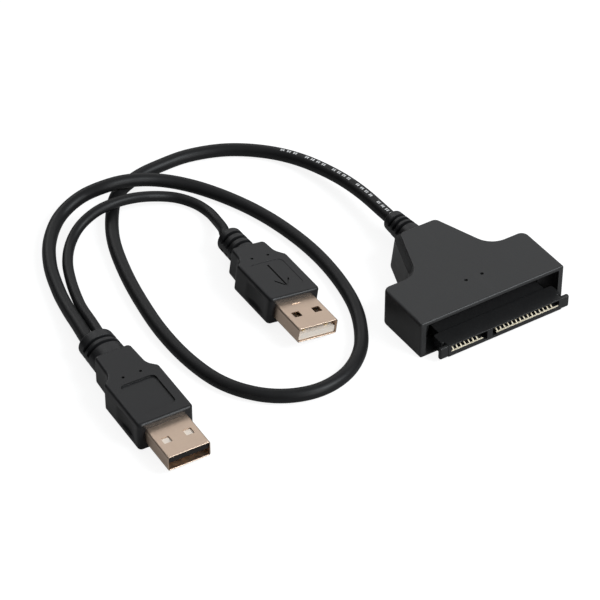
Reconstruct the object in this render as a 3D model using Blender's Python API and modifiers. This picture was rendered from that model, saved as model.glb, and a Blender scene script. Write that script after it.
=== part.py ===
"""USB to SATA adapter: a drive connector head with two USB plugs on free cords.

The head is a black moulded block with a hooded front. A 22-way receptacle stands out of the hood,
7 signal ways and 15 power ways, and its contacts run back to a small circuit board. A ribbed
strain relief at the back lets out the main cord, which loops round to the data plug. A thinner
cord runs from the data plug to the power plug.

Units are metres, +Z is up, -Y is the way the receptacle faces and the head stands on Z = 0.
"""
import math

import bmesh
import bpy
from mathutils import Matrix, Vector

MM = 0.001
OBJECT_NAME = "usb_to_sata_adapter"

# Clearances
GAP = 0.3 * MM  # between solids that touch
CONTACT_GAP = 0.12 * MM  # round the thin stamped contacts

# Head housing, moulded in one piece with its strain relief
HOUSING_WIDTH = 46.0 * MM
HOUSING_HEIGHT = 11.4 * MM
HOUSING_DEPTH = 18.2 * MM
HOUSING_CORNER = 2.2 * MM
HOUSING_EDGE = 0.8 * MM
HOOD_DEPTH = 5.7 * MM
HOOD_SIDE_WALL = 1.0 * MM
HOOD_TOP_WALL = 1.0 * MM
HOOD_FLOOR = 0.9 * MM
HOOD_CORNER = 1.2 * MM
NECK_LENGTH = 17.2 * MM
NECK_FRONT_WIDTH = 24.4 * MM
NECK_REAR_WIDTH = 12.0 * MM
NECK_FILLET = 6.0 * MM
NECK_CORNER = 1.8 * MM
NECK_BAND = 1.9 * MM  # upright band along the neck's top edge
NECK_FOOT_FLARE = 1.7 * MM  # how far the neck stands out past that band, at its foot
NECK_SHOULDER_FLARE = 1.1 * MM  # and just below the band
NECK_FOOT_EDGE = 1.0 * MM
PIN_MARK_DIAMETER = 1.0 * MM
PIN_MARK_DEPTH = 1.0 * MM
PIN_MARK_SPACING = 5.1 * MM
PIN_MARK_SETBACK = 9.0 * MM  # from the housing's front

# Strain relief behind the head
HEAD_RELIEF_LENGTH = 11.8 * MM
HEAD_RELIEF_ROOT = 7.8 * MM
HEAD_RELIEF_END = 6.0 * MM
HEAD_RELIEF_SLOTS = 3
HEAD_RELIEF_FIRST_SLOT = 4.7 * MM  # from the relief's root to the middle of its first slot
HEAD_RELIEF_PITCH = 2.05 * MM
RELIEF_SLOT_WIDTH = 0.9 * MM
RELIEF_SLOT_DEPTH = 1.1 * MM
RELIEF_WEB = 1.8 * MM  # solid strip left along each side between the slots

# Receptacle
CONTACT_PITCH = 1.27 * MM
SIGNAL_WAYS = 7
POWER_WAYS = 15
SEGMENT_STEP = 6.35 * MM  # last signal contact to first power contact
SIGNAL_OUTER_MARGIN = 0.85 * MM  # slot past the first signal contact
SIGNAL_KEY_MARGIN = 2.98 * MM  # slot past the last signal contact
POWER_KEY_MARGIN = 1.67 * MM  # slot before the first power contact
POWER_OUTER_MARGIN = 2.1 * MM  # slot past the last power contact
KEY_WIDTH = 1.3 * MM
KEY_DROP = 0.7 * MM
RECEPTACLE_SHIFT = 1.0 * MM  # the slot's middle lies this far right of the housing's
NOSE_REACH = 4.6 * MM  # how far the nose stands out of the housing
NOSE_BOTTOM = 1.3 * MM
NOSE_LIP = 1.4 * MM
SLOT_HEIGHT = 1.88 * MM
NOSE_ROOF = 0.35 * MM
NOSE_END_WALL = 0.85 * MM
SLOT_DEPTH = 5.0 * MM
EAR_WIDTH = 2.6 * MM
EAR_DEPTH = 1.3 * MM
EAR_DROP = 0.1 * MM  # below the nose's underside
EAR_TOP_DROP = 0.1 * MM  # below the nose's top
SHOULDER_SETBACK = 2.0 * MM
EAR_EDGE = 0.4 * MM
EAR_SETBACK = 0.1 * MM
SHOULDER_WIDTH = 1.0 * MM
SHOULDER_DEPTH = 3.9 * MM
SHOULDER_CORNER = 0.7 * MM
TAIL_LENGTH = 6.4 * MM
TAIL_INSET = 1.2 * MM
TAIL_DROP = 0.45 * MM

# Contacts
CONTACT_WIDTH = 0.66 * MM
CONTACT_THICKNESS = 0.2 * MM
CONTACT_BELOW_ROOF = 0.6 * MM
CONTACT_SETBACK = 0.7 * MM
CONTACT_DIP = 0.35 * MM
CONTACT_DIP_RUN = 1.4 * MM
CONTACT_TAIL_ON_BOARD = 2.6 * MM

# Circuit board and what is soldered on it
BOARD_THICKNESS = 1.0 * MM
BOARD_FRONT_DEPTH = 8.0 * MM
BOARD_STEM_WIDTH = 11.0 * MM
BOARD_STEM_LENGTH = 11.5 * MM
BOARD_EDGE_MARGIN = 1.2 * MM
COMPONENT_SEAT = 0.1 * MM
COMPONENT_ROW_GAP = 0.6 * MM
BRIDGE_CHIP_SIZE = (7.0 * MM, 7.0 * MM, 1.4 * MM)
CRYSTAL_SIZE = (5.0 * MM, 3.2 * MM, 1.1 * MM)
REGULATOR_SIZE = (6.5 * MM, 3.5 * MM, 1.6 * MM)
CAPACITOR_SIZE = (3.5 * MM, 2.8 * MM, 1.9 * MM)
COMPONENT_SPACING = 8.2 * MM
POCKET_HEADROOM = 0.6 * MM

# USB plugs
SHELL_WIDTH = 12.0 * MM
SHELL_HEIGHT = 4.5 * MM
SHELL_WALL = 0.3 * MM
SHELL_CORNER = 0.6 * MM
SHELL_REACH = 11.9 * MM
SHELL_SEAT = 6.8 * MM
WINDOW_WIDTH = 2.3 * MM
WINDOW_LENGTH = 2.2 * MM
WINDOW_SPACING = 6.2 * MM
WINDOW_SETBACK = 6.0 * MM
TONGUE_THICKNESS = 1.9 * MM
TONGUE_SETBACK = 0.5 * MM
TONGUE_REACH = 11.6 * MM
TONGUE_BASE = 4.4 * MM
USB_CONTACT_WIDTH = 1.0 * MM
USB_CONTACT_THICKNESS = 0.25 * MM
USB_CONTACT_OFFSETS = (-3.5 * MM, -1.0 * MM, 1.0 * MM, 3.5 * MM)
USB_CONTACT_SETBACK = 1.0 * MM
USB_CONTACT_LATE = 1.0 * MM  # the two middle contacts start this much later
USB_CONTACT_TAIL = 1.0 * MM
GRIP_EDGE = 0.8 * MM
GRIP_CORNER = 1.2 * MM
GRIP_FILLET = 4.0 * MM
GRIP_SHOULDER_RUN = 2.4 * MM  # over which the grip narrows to its neck
GRIP_NECK_FRONT = 11.2 * MM
GRIP_NECK_REAR = 10.4 * MM
SCOOP_RADIUS = 20.0 * MM
SCOOP_DEPTH = 0.6 * MM
SCOOP_HEIGHT = 5.0 * MM
SCOOP_SETBACK = 7.0 * MM
PANEL_WIDTH = 10.0 * MM
PANEL_LENGTH = 12.4 * MM
PANEL_SETBACK = 3.4 * MM
PANEL_DEPTH = 0.25 * MM
PANEL_CORNER = 1.4 * MM
GRIP_MARK_DIAMETER = 0.8 * MM
GRIP_MARK_SPACING = 5.0 * MM
GRIP_MARK_SETBACK = 18.4 * MM
GRIP_MARK_DEPTH = 0.8 * MM

# Data plug, which lies with its tongue uppermost and takes both cords
DATA_PLUG_TIP = (-95.0 * MM, -25.3 * MM)
DATA_PLUG_YAW = math.radians(-2.1)
DATA_GRIP_WIDTH = 15.7 * MM
DATA_GRIP_HEIGHT = 8.6 * MM
DATA_GRIP_LENGTH = 18.6 * MM
DATA_NECK_LENGTH = 11.0 * MM
DATA_RELIEF_LENGTH = 9.8 * MM
DATA_RELIEF_ROOT = 10.4 * MM
DATA_RELIEF_END = 10.0 * MM
DATA_RELIEF_FLATNESS = 0.8
DATA_RELIEF_SLOTS = 2
DATA_RELIEF_FIRST_SLOT = 4.0 * MM
DATA_RELIEF_PITCH = 2.2 * MM

# Power plug, which lies with its tongue lowermost and takes the thin cord
POWER_PLUG_TIP = (-42.6 * MM, -2.6 * MM)
POWER_PLUG_YAW = math.radians(-1.0)
POWER_PLUG_ROLL = math.radians(8.2)
POWER_GRIP_WIDTH = 15.4 * MM
POWER_GRIP_HEIGHT = 8.2 * MM
POWER_GRIP_LENGTH = 17.4 * MM
POWER_NECK_LENGTH = 7.6 * MM
POWER_RELIEF_LENGTH = 9.2 * MM
POWER_RELIEF_ROOT = 7.8 * MM
POWER_RELIEF_END = 7.4 * MM
POWER_RELIEF_SLOTS = 3
POWER_RELIEF_FIRST_SLOT = 1.5 * MM
POWER_RELIEF_PITCH = 2.5 * MM

# Cords
MAIN_CORD_DIAMETER = 3.8 * MM
THIN_CORD_DIAMETER = 3.0 * MM
CORD_PAIR_SHIFT = 0.25 * MM  # how far the two cords lie off the data relief's middle
CORD_LEAD = 2.0 * MM  # straight stretch where a cord leaves a relief
CORD_POINT_SPACING = 2.5  # diameters between the points of a cord's centre line

# Route of the main cord between its two ends, in millimetres: once round a wide loop and over itself
MAIN_ROUTE = (
    (0.2, 42.0, 4.9),
    (-1.0, 53.9, 3.9),
    (-4.3, 66.1, 2.7),
    (-10.1, 75.5, 2.0),
    (-18.9, 82.2, 2.0),
    (-29.2, 85.6, 2.0),
    (-38.6, 85.8, 2.0),
    (-47.2, 84.6, 2.0),
    (-55.6, 80.5, 2.0),
    (-61.7, 72.7, 2.0),
    (-67.0, 62.3, 2.0),
    (-70.9, 49.4, 2.0),
    (-73.5, 36.4, 2.0),
    (-75.2, 22.5, 2.0),
    (-75.1, 9.0, 2.0),
    (-72.8, -2.8, 2.0),
    (-67.7, -11.6, 2.0),
    (-60.6, -17.2, 2.0),
    (-52.0, -19.4, 2.0),
    (-43.1, -17.5, 2.0),
    (-35.5, -11.9, 2.0),
    (-30.0, -3.7, 2.0),
    (-26.3, 5.4, 2.0),
    (-24.0, 16.9, 2.0),
    (-23.3, 28.9, 2.0),
    (-24.3, 40.8, 2.0),
    (-26.7, 52.2, 2.0),
    (-30.6, 62.8, 2.0),
    (-36.3, 71.2, 2.9),
    (-43.5, 76.8, 4.4),
    (-51.3, 79.6, 5.8),
    (-58.7, 80.8, 6.1),
    (-66.5, 82.0, 4.4),
    (-74.5, 79.4, 2.6),
    (-81.6, 72.0, 2.0),
    (-86.7, 62.3, 2.0),
    (-90.0, 51.5, 2.1),
    (-91.9, 42.6, 2.7),
    (-93.2, 35.0, 3.6),
)

# Route of the thin cord between its two ends, in millimetres: over the main cord and back
THIN_ROUTE = (
    (-89.7, 34.0, 3.6),
    (-88.6, 40.6, 2.6),
    (-87.45, 45.5, 2.0),
    (-85.1, 53.4, 1.6),
    (-81.9, 61.4, 1.6),
    (-77.5, 68.0, 1.7),
    (-72.5, 71.8, 3.2),
    (-66.9, 73.1, 5.0),
    (-61.5, 73.2, 5.7),
    (-55.3, 73.4, 5.0),
    (-48.7, 73.1, 3.3),
    (-42.6, 70.7, 1.9),
    (-39.2, 65.7, 1.6),
    (-38.0, 60.2, 1.6),
    (-38.8, 54.2, 2.6),
    (-40.2, 48.9, 4.1),
)

# Places worked out from the sizes above
HEAD_LENGTH = NOSE_REACH + HOUSING_DEPTH + NECK_LENGTH + HEAD_RELIEF_LENGTH
NOSE_FRONT_Y = -HEAD_LENGTH / 2
HOUSING_FRONT_Y = NOSE_FRONT_Y + NOSE_REACH
HOUSING_BACK_Y = HOUSING_FRONT_Y + HOUSING_DEPTH
HOOD_BACK_Y = HOUSING_FRONT_Y + HOOD_DEPTH
NECK_REAR_Y = HOUSING_BACK_Y + NECK_LENGTH
HEAD_RELIEF_END_Y = NECK_REAR_Y + HEAD_RELIEF_LENGTH
HEAD_CORD_Z = HOUSING_HEIGHT / 2

SIGNAL_SPAN = (SIGNAL_WAYS - 1) * CONTACT_PITCH
POWER_SPAN = (POWER_WAYS - 1) * CONTACT_PITCH
SLOT_SPAN = SIGNAL_OUTER_MARGIN + SIGNAL_SPAN + SEGMENT_STEP + POWER_SPAN + POWER_OUTER_MARGIN
SLOT_LEFT_X = RECEPTACLE_SHIFT - SLOT_SPAN / 2
SLOT_RIGHT_X = SLOT_LEFT_X + SLOT_SPAN
FIRST_SIGNAL_X = SLOT_LEFT_X + SIGNAL_OUTER_MARGIN
FIRST_POWER_X = FIRST_SIGNAL_X + SIGNAL_SPAN + SEGMENT_STEP
SIGNAL_SLOT_RIGHT_X = FIRST_SIGNAL_X + SIGNAL_SPAN + SIGNAL_KEY_MARGIN
POWER_SLOT_LEFT_X = FIRST_POWER_X - POWER_KEY_MARGIN
SLOT_FLOOR_Z = NOSE_BOTTOM + NOSE_LIP
SLOT_ROOF_Z = SLOT_FLOOR_Z + SLOT_HEIGHT
NOSE_TOP_Z = SLOT_ROOF_Z + NOSE_ROOF
CONTACT_Z = SLOT_ROOF_Z - CONTACT_BELOW_ROOF
SHOULDER_FRONT_Y = NOSE_FRONT_Y + SHOULDER_SETBACK
SHOULDER_BACK_Y = SHOULDER_FRONT_Y + SHOULDER_DEPTH
TAIL_BACK_Y = SHOULDER_BACK_Y + TAIL_LENGTH
TAIL_LEFT_X = SLOT_LEFT_X - NOSE_END_WALL + TAIL_INSET
TAIL_RIGHT_X = SLOT_RIGHT_X + NOSE_END_WALL - TAIL_INSET
TAIL_TOP_Z = NOSE_TOP_Z - TAIL_DROP

BOARD_FRONT_Y = TAIL_BACK_Y + GAP
BOARD_TOP_Z = CONTACT_Z - CONTACT_THICKNESS / 2 - CONTACT_GAP
BOARD_BOTTOM_Z = BOARD_TOP_Z - BOARD_THICKNESS
BOARD_LEFT_X = FIRST_SIGNAL_X - BOARD_EDGE_MARGIN
BOARD_RIGHT_X = FIRST_POWER_X + POWER_SPAN + BOARD_EDGE_MARGIN
BOARD_STEP_Y = BOARD_FRONT_Y + BOARD_FRONT_DEPTH
BOARD_BACK_Y = BOARD_STEP_Y + BOARD_STEM_LENGTH
COMPONENT_ROW_FRONT_Y = BOARD_FRONT_Y + CONTACT_TAIL_ON_BOARD + COMPONENT_ROW_GAP
COMPONENT_BASE_Z = BOARD_TOP_Z + COMPONENT_SEAT
POCKET_TOP_Z = COMPONENT_BASE_Z + CAPACITOR_SIZE[2] + POCKET_HEADROOM
POCKET_BOTTOM_Z = BOARD_BOTTOM_Z - GAP

SHELL_BACK = SHELL_REACH + SHELL_SEAT
INNER_HALF_WIDTH = SHELL_WIDTH / 2 - SHELL_WALL
INNER_HALF_HEIGHT = SHELL_HEIGHT / 2 - SHELL_WALL
TONGUE_BOTTOM_Z = -INNER_HALF_HEIGHT + CONTACT_GAP
TONGUE_TOP_Z = TONGUE_BOTTOM_Z + TONGUE_THICKNESS
TONGUE_BACK = TONGUE_SETBACK + TONGUE_REACH + TONGUE_BASE
PLUG_POCKET_BACK = max(SHELL_BACK, TONGUE_BACK + USB_CONTACT_TAIL) + GAP
POWER_PLUG_Z = (
    (POWER_GRIP_WIDTH / 2 - GRIP_EDGE) * math.sin(POWER_PLUG_ROLL)
    + (POWER_GRIP_HEIGHT / 2 - GRIP_EDGE) * math.cos(POWER_PLUG_ROLL)
    + GRIP_EDGE
)

MATERIALS = {
    "moulded_black": ((0.030, 0.030, 0.031), 0.55, 0.0),
    "receptacle_black": ((0.022, 0.022, 0.023), 0.5, 0.0),
    "contact_gold": ((0.80, 0.62, 0.32), 0.3, 1.0),
    "shell_nickel": ((0.72, 0.62, 0.54), 0.28, 1.0),
    "insulator_cream": ((0.80, 0.76, 0.66), 0.5, 0.0),
    "board_green": ((0.02, 0.16, 0.07), 0.45, 0.0),
    "chip_black": ((0.03, 0.03, 0.035), 0.5, 0.0),
    "can_steel": ((0.62, 0.62, 0.63), 0.3, 1.0),
    "capacitor_tan": ((0.55, 0.36, 0.12), 0.5, 0.0),
    "cord_black": ((0.028, 0.028, 0.029), 0.5, 0.0),
}


def clear_scene():
    """Remove every object that the scene holds."""
    for thing in list(bpy.data.objects):
        bpy.data.objects.remove(thing, do_unlink=True)


def make_collections():
    """Return the collection of the parts and the one of the cutters."""
    parts = bpy.data.collections.new(OBJECT_NAME)
    cutters = bpy.data.collections.new(OBJECT_NAME + "_cutters")
    bpy.context.scene.collection.children.link(parts)
    bpy.context.scene.collection.children.link(cutters)
    return parts, cutters


def make_materials():
    """Return one Principled material for each finish, by name."""
    made = {}
    for name, (colour, roughness, metallic) in MATERIALS.items():
        material = bpy.data.materials.new(name)
        material.use_nodes = True
        shader = material.node_tree.nodes["Principled BSDF"]
        shader.inputs["Base Color"].default_value = (*colour, 1.0)
        shader.inputs["Roughness"].default_value = roughness
        shader.inputs["Metallic"].default_value = metallic
        made[name] = material
    return made


clear_scene()
PARTS, CUTTERS = make_collections()
FINISHES = make_materials()


def add_object(name, data, finish=None, parent=None):
    """Link an object: a part if it has a finish, and otherwise a cutter or guide."""
    thing = bpy.data.objects.new(name, data)
    if finish is None:
        CUTTERS.objects.link(thing)
        thing.hide_render = True
        thing.display_type = "WIRE"
    else:
        PARTS.objects.link(thing)
        data.materials.append(FINISHES[finish])
    thing.parent = parent
    return thing


def mesh_from_bmesh(name, shape, smooth_angle=None):
    """Turn a bmesh into a mesh, shaded smooth up to an angle if one is given."""
    mesh = bpy.data.meshes.new(name)
    shape.to_mesh(mesh)
    shape.free()
    if smooth_angle is not None:
        mesh.shade_smooth()
        mesh.set_sharp_from_angle(angle=smooth_angle)
    return mesh


def box(name, low, high, finish=None, parent=None, edge=0.0):
    """Make a box between two corners, with its edges rounded if edge is above zero."""
    low, high = Vector(low), Vector(high)
    shape = bmesh.new()
    bmesh.ops.create_cube(shape, size=1.0, matrix=Matrix.Diagonal((*(high - low), 1.0)))
    thing = add_object(name, mesh_from_bmesh(name, shape), finish, parent)
    thing.location = (low + high) / 2
    if edge > 0.0:
        bevel = thing.modifiers.new("edges", "BEVEL")
        bevel.width = edge
        bevel.segments = 2
    return thing


def boxes(name, corner_pairs, parent=None):
    """Make one cutter of several boxes that don't meet."""
    shape = bmesh.new()
    for low, high in corner_pairs:
        low, high = Vector(low), Vector(high)
        place = Matrix.Translation((low + high) / 2) @ Matrix.Diagonal((*(high - low), 1.0))
        bmesh.ops.create_cube(shape, size=1.0, matrix=place)
    return add_object(name, mesh_from_bmesh(name, shape), None, parent)


def cylinders(name, centres, radius, depth, segments, parent=None):
    """Make one cutter of upright cylinders that don't meet."""
    shape = bmesh.new()
    for centre in centres:
        bmesh.ops.create_cone(
            shape,
            cap_ends=True,
            segments=segments,
            radius1=radius,
            radius2=radius,
            depth=depth,
            matrix=Matrix.Translation(centre),
        )
    return add_object(name, mesh_from_bmesh(name, shape), None, parent)


def rounded_outline(corners, steps=5):
    """Return the points of a closed outline whose corners are (x, y, radius) with tangent arcs."""
    points = []
    for index, (x, y, radius) in enumerate(corners):
        corner = Vector((x, y))
        before = Vector(corners[index - 1][:2]) - corner
        after = Vector(corners[(index + 1) % len(corners)][:2]) - corner
        half_angle = before.angle(after) / 2
        if radius <= 0.0 or math.isclose(half_angle, math.pi / 2, abs_tol=1e-4):
            points.append(corner)
            continue
        tangent = radius / math.tan(half_angle)
        start = corner + before.normalized() * tangent
        end = corner + after.normalized() * tangent
        centre = corner + (before.normalized() + after.normalized()).normalized() * (
            radius / math.sin(half_angle)
        )
        sweep = (start - centre).angle(end - centre)
        turn = math.copysign(1.0, (start - centre).cross(end - centre))
        for step in range(steps + 1):
            angle = turn * sweep * step / steps
            spoke = start - centre
            turned = Vector(
                (
                    spoke.x * math.cos(angle) - spoke.y * math.sin(angle),
                    spoke.x * math.sin(angle) + spoke.y * math.cos(angle),
                )
            )
            points.append(centre + turned)
    return points


def mirrored(corners):
    """Close a right-hand half outline, given front to back, with its mirror image."""
    return list(corners) + [(-x, y, radius) for x, y, radius in reversed(corners)]


def mesh_of_curve(curve_object):
    """Return a curve object's mesh with its caps welded, and remove the curve."""
    bpy.context.view_layer.update()
    graph = bpy.context.evaluated_depsgraph_get()
    mesh = bpy.data.meshes.new_from_object(curve_object.evaluated_get(graph))
    shape = bmesh.new()
    shape.from_mesh(mesh)
    bmesh.ops.remove_doubles(shape, verts=shape.verts, dist=0.001 * MM)
    bmesh.ops.recalc_face_normals(shape, faces=shape.faces)
    shape.to_mesh(mesh)
    shape.free()
    curve = curve_object.data
    bpy.data.objects.remove(curve_object)
    bpy.data.curves.remove(curve)
    return mesh


def merge_caps(mesh):
    """Merge the faces of an upright plate's top into one face, and those of its underside."""
    shape = bmesh.new()
    shape.from_mesh(mesh)
    heights = [corner.co.z for corner in shape.verts]
    for level in (min(heights), max(heights)):
        cap = [
            face
            for face in shape.faces
            if all(math.isclose(corner.co.z, level, abs_tol=0.001 * MM) for corner in face.verts)
        ]
        bmesh.ops.dissolve_faces(shape, faces=cap)
    shape.to_mesh(mesh)
    shape.free()


def plate(name, outlines, low, high, finish=None, parent=None, edge=0.0):
    """Make an upright plate from closed outlines, with its rims rounded if edge is above zero."""
    curve = bpy.data.curves.new(name, "CURVE")
    curve.dimensions = "2D"
    curve.fill_mode = "BOTH"
    curve.extrude = (high - low) / 2 - edge
    curve.bevel_depth = edge
    curve.bevel_resolution = 1
    curve.offset = -edge
    for outline in outlines:
        spline = curve.splines.new("POLY")
        spline.points.add(len(outline) - 1)
        for point, place in zip(spline.points, outline):
            point.co = (place.x, place.y, 0.0, 1.0)
        spline.use_cyclic_u = True
    guide = bpy.data.objects.new(name, curve)
    CUTTERS.objects.link(guide)
    mesh = mesh_of_curve(guide)
    mesh.materials.clear()
    if len(outlines) == 1:
        merge_caps(mesh)
    thing = add_object(name, mesh, finish, parent)
    thing.location.z = (low + high) / 2
    mesh.shade_smooth()
    mesh.set_sharp_from_angle(angle=math.radians(40.0))
    return thing


def cut(target, cutter):
    """Cut one object out of another."""
    change = target.modifiers.new("cut_" + cutter.name, "BOOLEAN")
    change.operation = "DIFFERENCE"
    change.object = cutter


def join(target, added):
    """Join one object to another as a single solid."""
    change = target.modifiers.new("join_" + added.name, "BOOLEAN")
    change.operation = "UNION"
    change.object = added


def strain_relief(name, target, start, sizes, slots, flatness=1.0, centre_z=0.0):
    """Join a tapered, slotted relief to a moulding that ends at start, pointing along +Y.

    Sizes are its length and the widths of its root and end; slots are how many there are, how far
    the first lies from the root and the pitch. Each slot is a ring cut from above and below, with a
    solid web left along both sides.
    """
    length, root, end = sizes
    count, first_slot, pitch = slots
    sink = RELIEF_SLOT_WIDTH
    slope = (root - end) / 2 / length
    shape = bmesh.new()
    turn = Matrix.Rotation(math.radians(-90.0), 4, "X")
    squash = Matrix.Diagonal((1.0, 1.0, flatness, 1.0))
    middle = start + (length - sink) / 2
    bmesh.ops.create_cone(
        shape,
        cap_ends=True,
        segments=24,
        radius1=root / 2 + slope * sink,
        radius2=end / 2,
        depth=length + sink,
        matrix=Matrix.Translation((0.0, middle, centre_z)) @ squash @ turn,
    )
    body = add_object(name + "_body", mesh_from_bmesh(name, shape, math.radians(40.0)), None, target.parent)
    join(target, body)

    rings = bmesh.new()
    for index in range(count):
        bmesh.ops.create_cone(
            rings,
            cap_ends=True,
            segments=24,
            radius1=root,
            radius2=root,
            depth=RELIEF_SLOT_WIDTH,
            matrix=Matrix.Translation((0.0, start + first_slot + pitch * index, centre_z)) @ squash @ turn,
        )
    ring_cutter = add_object(name + "_slots", mesh_from_bmesh(name + "_slots", rings), None, target.parent)
    core = bmesh.new()
    bmesh.ops.create_cone(
        core,
        cap_ends=True,
        segments=24,
        radius1=root / 2 - RELIEF_SLOT_DEPTH,
        radius2=end / 2 - RELIEF_SLOT_DEPTH,
        depth=length,
        matrix=Matrix.Translation((0.0, start + length / 2, centre_z)) @ squash @ turn,
    )
    core_guide = add_object(name + "_core", mesh_from_bmesh(name + "_core", core), None, target.parent)
    web_guide = box(
        name + "_web",
        (-2 * root, start - sink, centre_z - RELIEF_WEB / 2),
        (2 * root, start + length + sink, centre_z + RELIEF_WEB / 2),
        parent=target.parent,
    )
    cut(ring_cutter, core_guide)
    cut(ring_cutter, web_guide)
    cut(target, ring_cutter)


def neck_half_width(y):
    """Return half the neck's width at its top edge, which narrows towards the rear."""
    along = (y - HOUSING_BACK_Y) / NECK_LENGTH
    return (NECK_FRONT_WIDTH + (NECK_REAR_WIDTH - NECK_FRONT_WIDTH) * along) / 2


def neck_foot():
    """Make the neck's lower part, whose sides and back lean out to the foot."""
    inset = GAP
    front, back = HOUSING_BACK_Y - HOUSING_CORNER, NECK_REAR_Y - inset
    low, high = inset, HOUSING_HEIGHT - NECK_BAND
    shape = bmesh.new()
    bmesh.ops.create_cube(shape, size=1.0)
    for corner in shape.verts:
        flare = NECK_FOOT_FLARE if corner.co.z < 0 else NECK_SHOULDER_FLARE
        y = front if corner.co.y < 0 else back
        z = low if corner.co.z < 0 else high
        half = neck_half_width(y) + flare
        y += flare if corner.co.y > 0 else 0.0
        corner.co = Vector((math.copysign(half, corner.co.x), y, z))
    foot = add_object("neck_foot_guide", mesh_from_bmesh("neck_foot_guide", shape))
    bevel = foot.modifiers.new("edges", "BEVEL")
    bevel.width = NECK_FOOT_EDGE
    bevel.segments = 2
    return foot


def board_outline(grow=0.0):
    """Return the T-shaped outline of the board, or of its pocket when it is grown."""
    half_stem = BOARD_STEM_WIDTH / 2 + grow
    front, step, back = BOARD_FRONT_Y, BOARD_STEP_Y + grow, BOARD_BACK_Y + grow
    left, right = BOARD_LEFT_X - grow, BOARD_RIGHT_X + grow
    corners = (
        (right, front),
        (right, step),
        (half_stem, step),
        (half_stem, back),
        (-half_stem, back),
        (-half_stem, step),
        (left, step),
        (left, front),
    )
    return [Vector(corner) for corner in corners]


def build_housing():
    """Make the head's moulding: block, neck and strain relief, with the hood and board pocket."""
    half = HOUSING_WIDTH / 2
    trim = 2 * HOUSING_EDGE
    corners = mirrored(
        (
            (half, HOUSING_FRONT_Y - trim, 0.0),
            (half, HOUSING_BACK_Y, HOUSING_CORNER),
            (NECK_FRONT_WIDTH / 2, HOUSING_BACK_Y, NECK_FILLET),
            (NECK_REAR_WIDTH / 2, NECK_REAR_Y, NECK_CORNER),
        )
    )
    housing = plate(
        "sata_housing",
        [rounded_outline(corners)],
        0.0,
        HOUSING_HEIGHT,
        "moulded_black",
        edge=HOUSING_EDGE,
    )
    join(housing, neck_foot())
    strain_relief(
        "head_relief",
        housing,
        NECK_REAR_Y,
        (HEAD_RELIEF_LENGTH, HEAD_RELIEF_ROOT, HEAD_RELIEF_END),
        (HEAD_RELIEF_SLOTS, HEAD_RELIEF_FIRST_SLOT, HEAD_RELIEF_PITCH),
        centre_z=HEAD_CORD_Z,
    )
    cut(
        housing,
        box(
            "front_trim_cutter",
            (-HOUSING_WIDTH, HOUSING_FRONT_Y - 2 * trim, -HOUSING_HEIGHT),
            (HOUSING_WIDTH, HOUSING_FRONT_Y, 2 * HOUSING_HEIGHT),
        ),
    )
    hood_half = half - HOOD_SIDE_WALL
    hood = rounded_outline(
        mirrored(((hood_half, HOUSING_FRONT_Y - trim, 0.0), (hood_half, HOOD_BACK_Y, HOOD_CORNER)))
    )
    cut(housing, plate("hood_cutter", [hood], HOOD_FLOOR, HOUSING_HEIGHT - HOOD_TOP_WALL))
    cut(
        housing,
        box(
            "receptacle_tail_cutter",
            (TAIL_LEFT_X - GAP, HOOD_BACK_Y - trim, NOSE_BOTTOM - GAP),
            (TAIL_RIGHT_X + GAP, BOARD_FRONT_Y + GAP, TAIL_TOP_Z + GAP),
        ),
    )
    cut(housing, plate("board_pocket_cutter", [board_outline(GAP)], POCKET_BOTTOM_Z, POCKET_TOP_Z))
    mark_y = HOUSING_FRONT_Y + PIN_MARK_SETBACK
    marks = [(side * PIN_MARK_SPACING / 2, mark_y, HOUSING_HEIGHT) for side in (-1, 1)]
    cut(housing, cylinders("pin_mark_cutter", marks, PIN_MARK_DIAMETER / 2, 2 * PIN_MARK_DEPTH, 12))


def contact_places():
    """Return the name and X of every receptacle contact, signal ways first."""
    places = []
    for way in range(SIGNAL_WAYS):
        places.append((f"signal_contact_{way + 1}", FIRST_SIGNAL_X + way * CONTACT_PITCH))
    for way in range(POWER_WAYS):
        places.append((f"power_contact_{way + 1:02d}", FIRST_POWER_X + way * CONTACT_PITCH))
    return places


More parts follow.
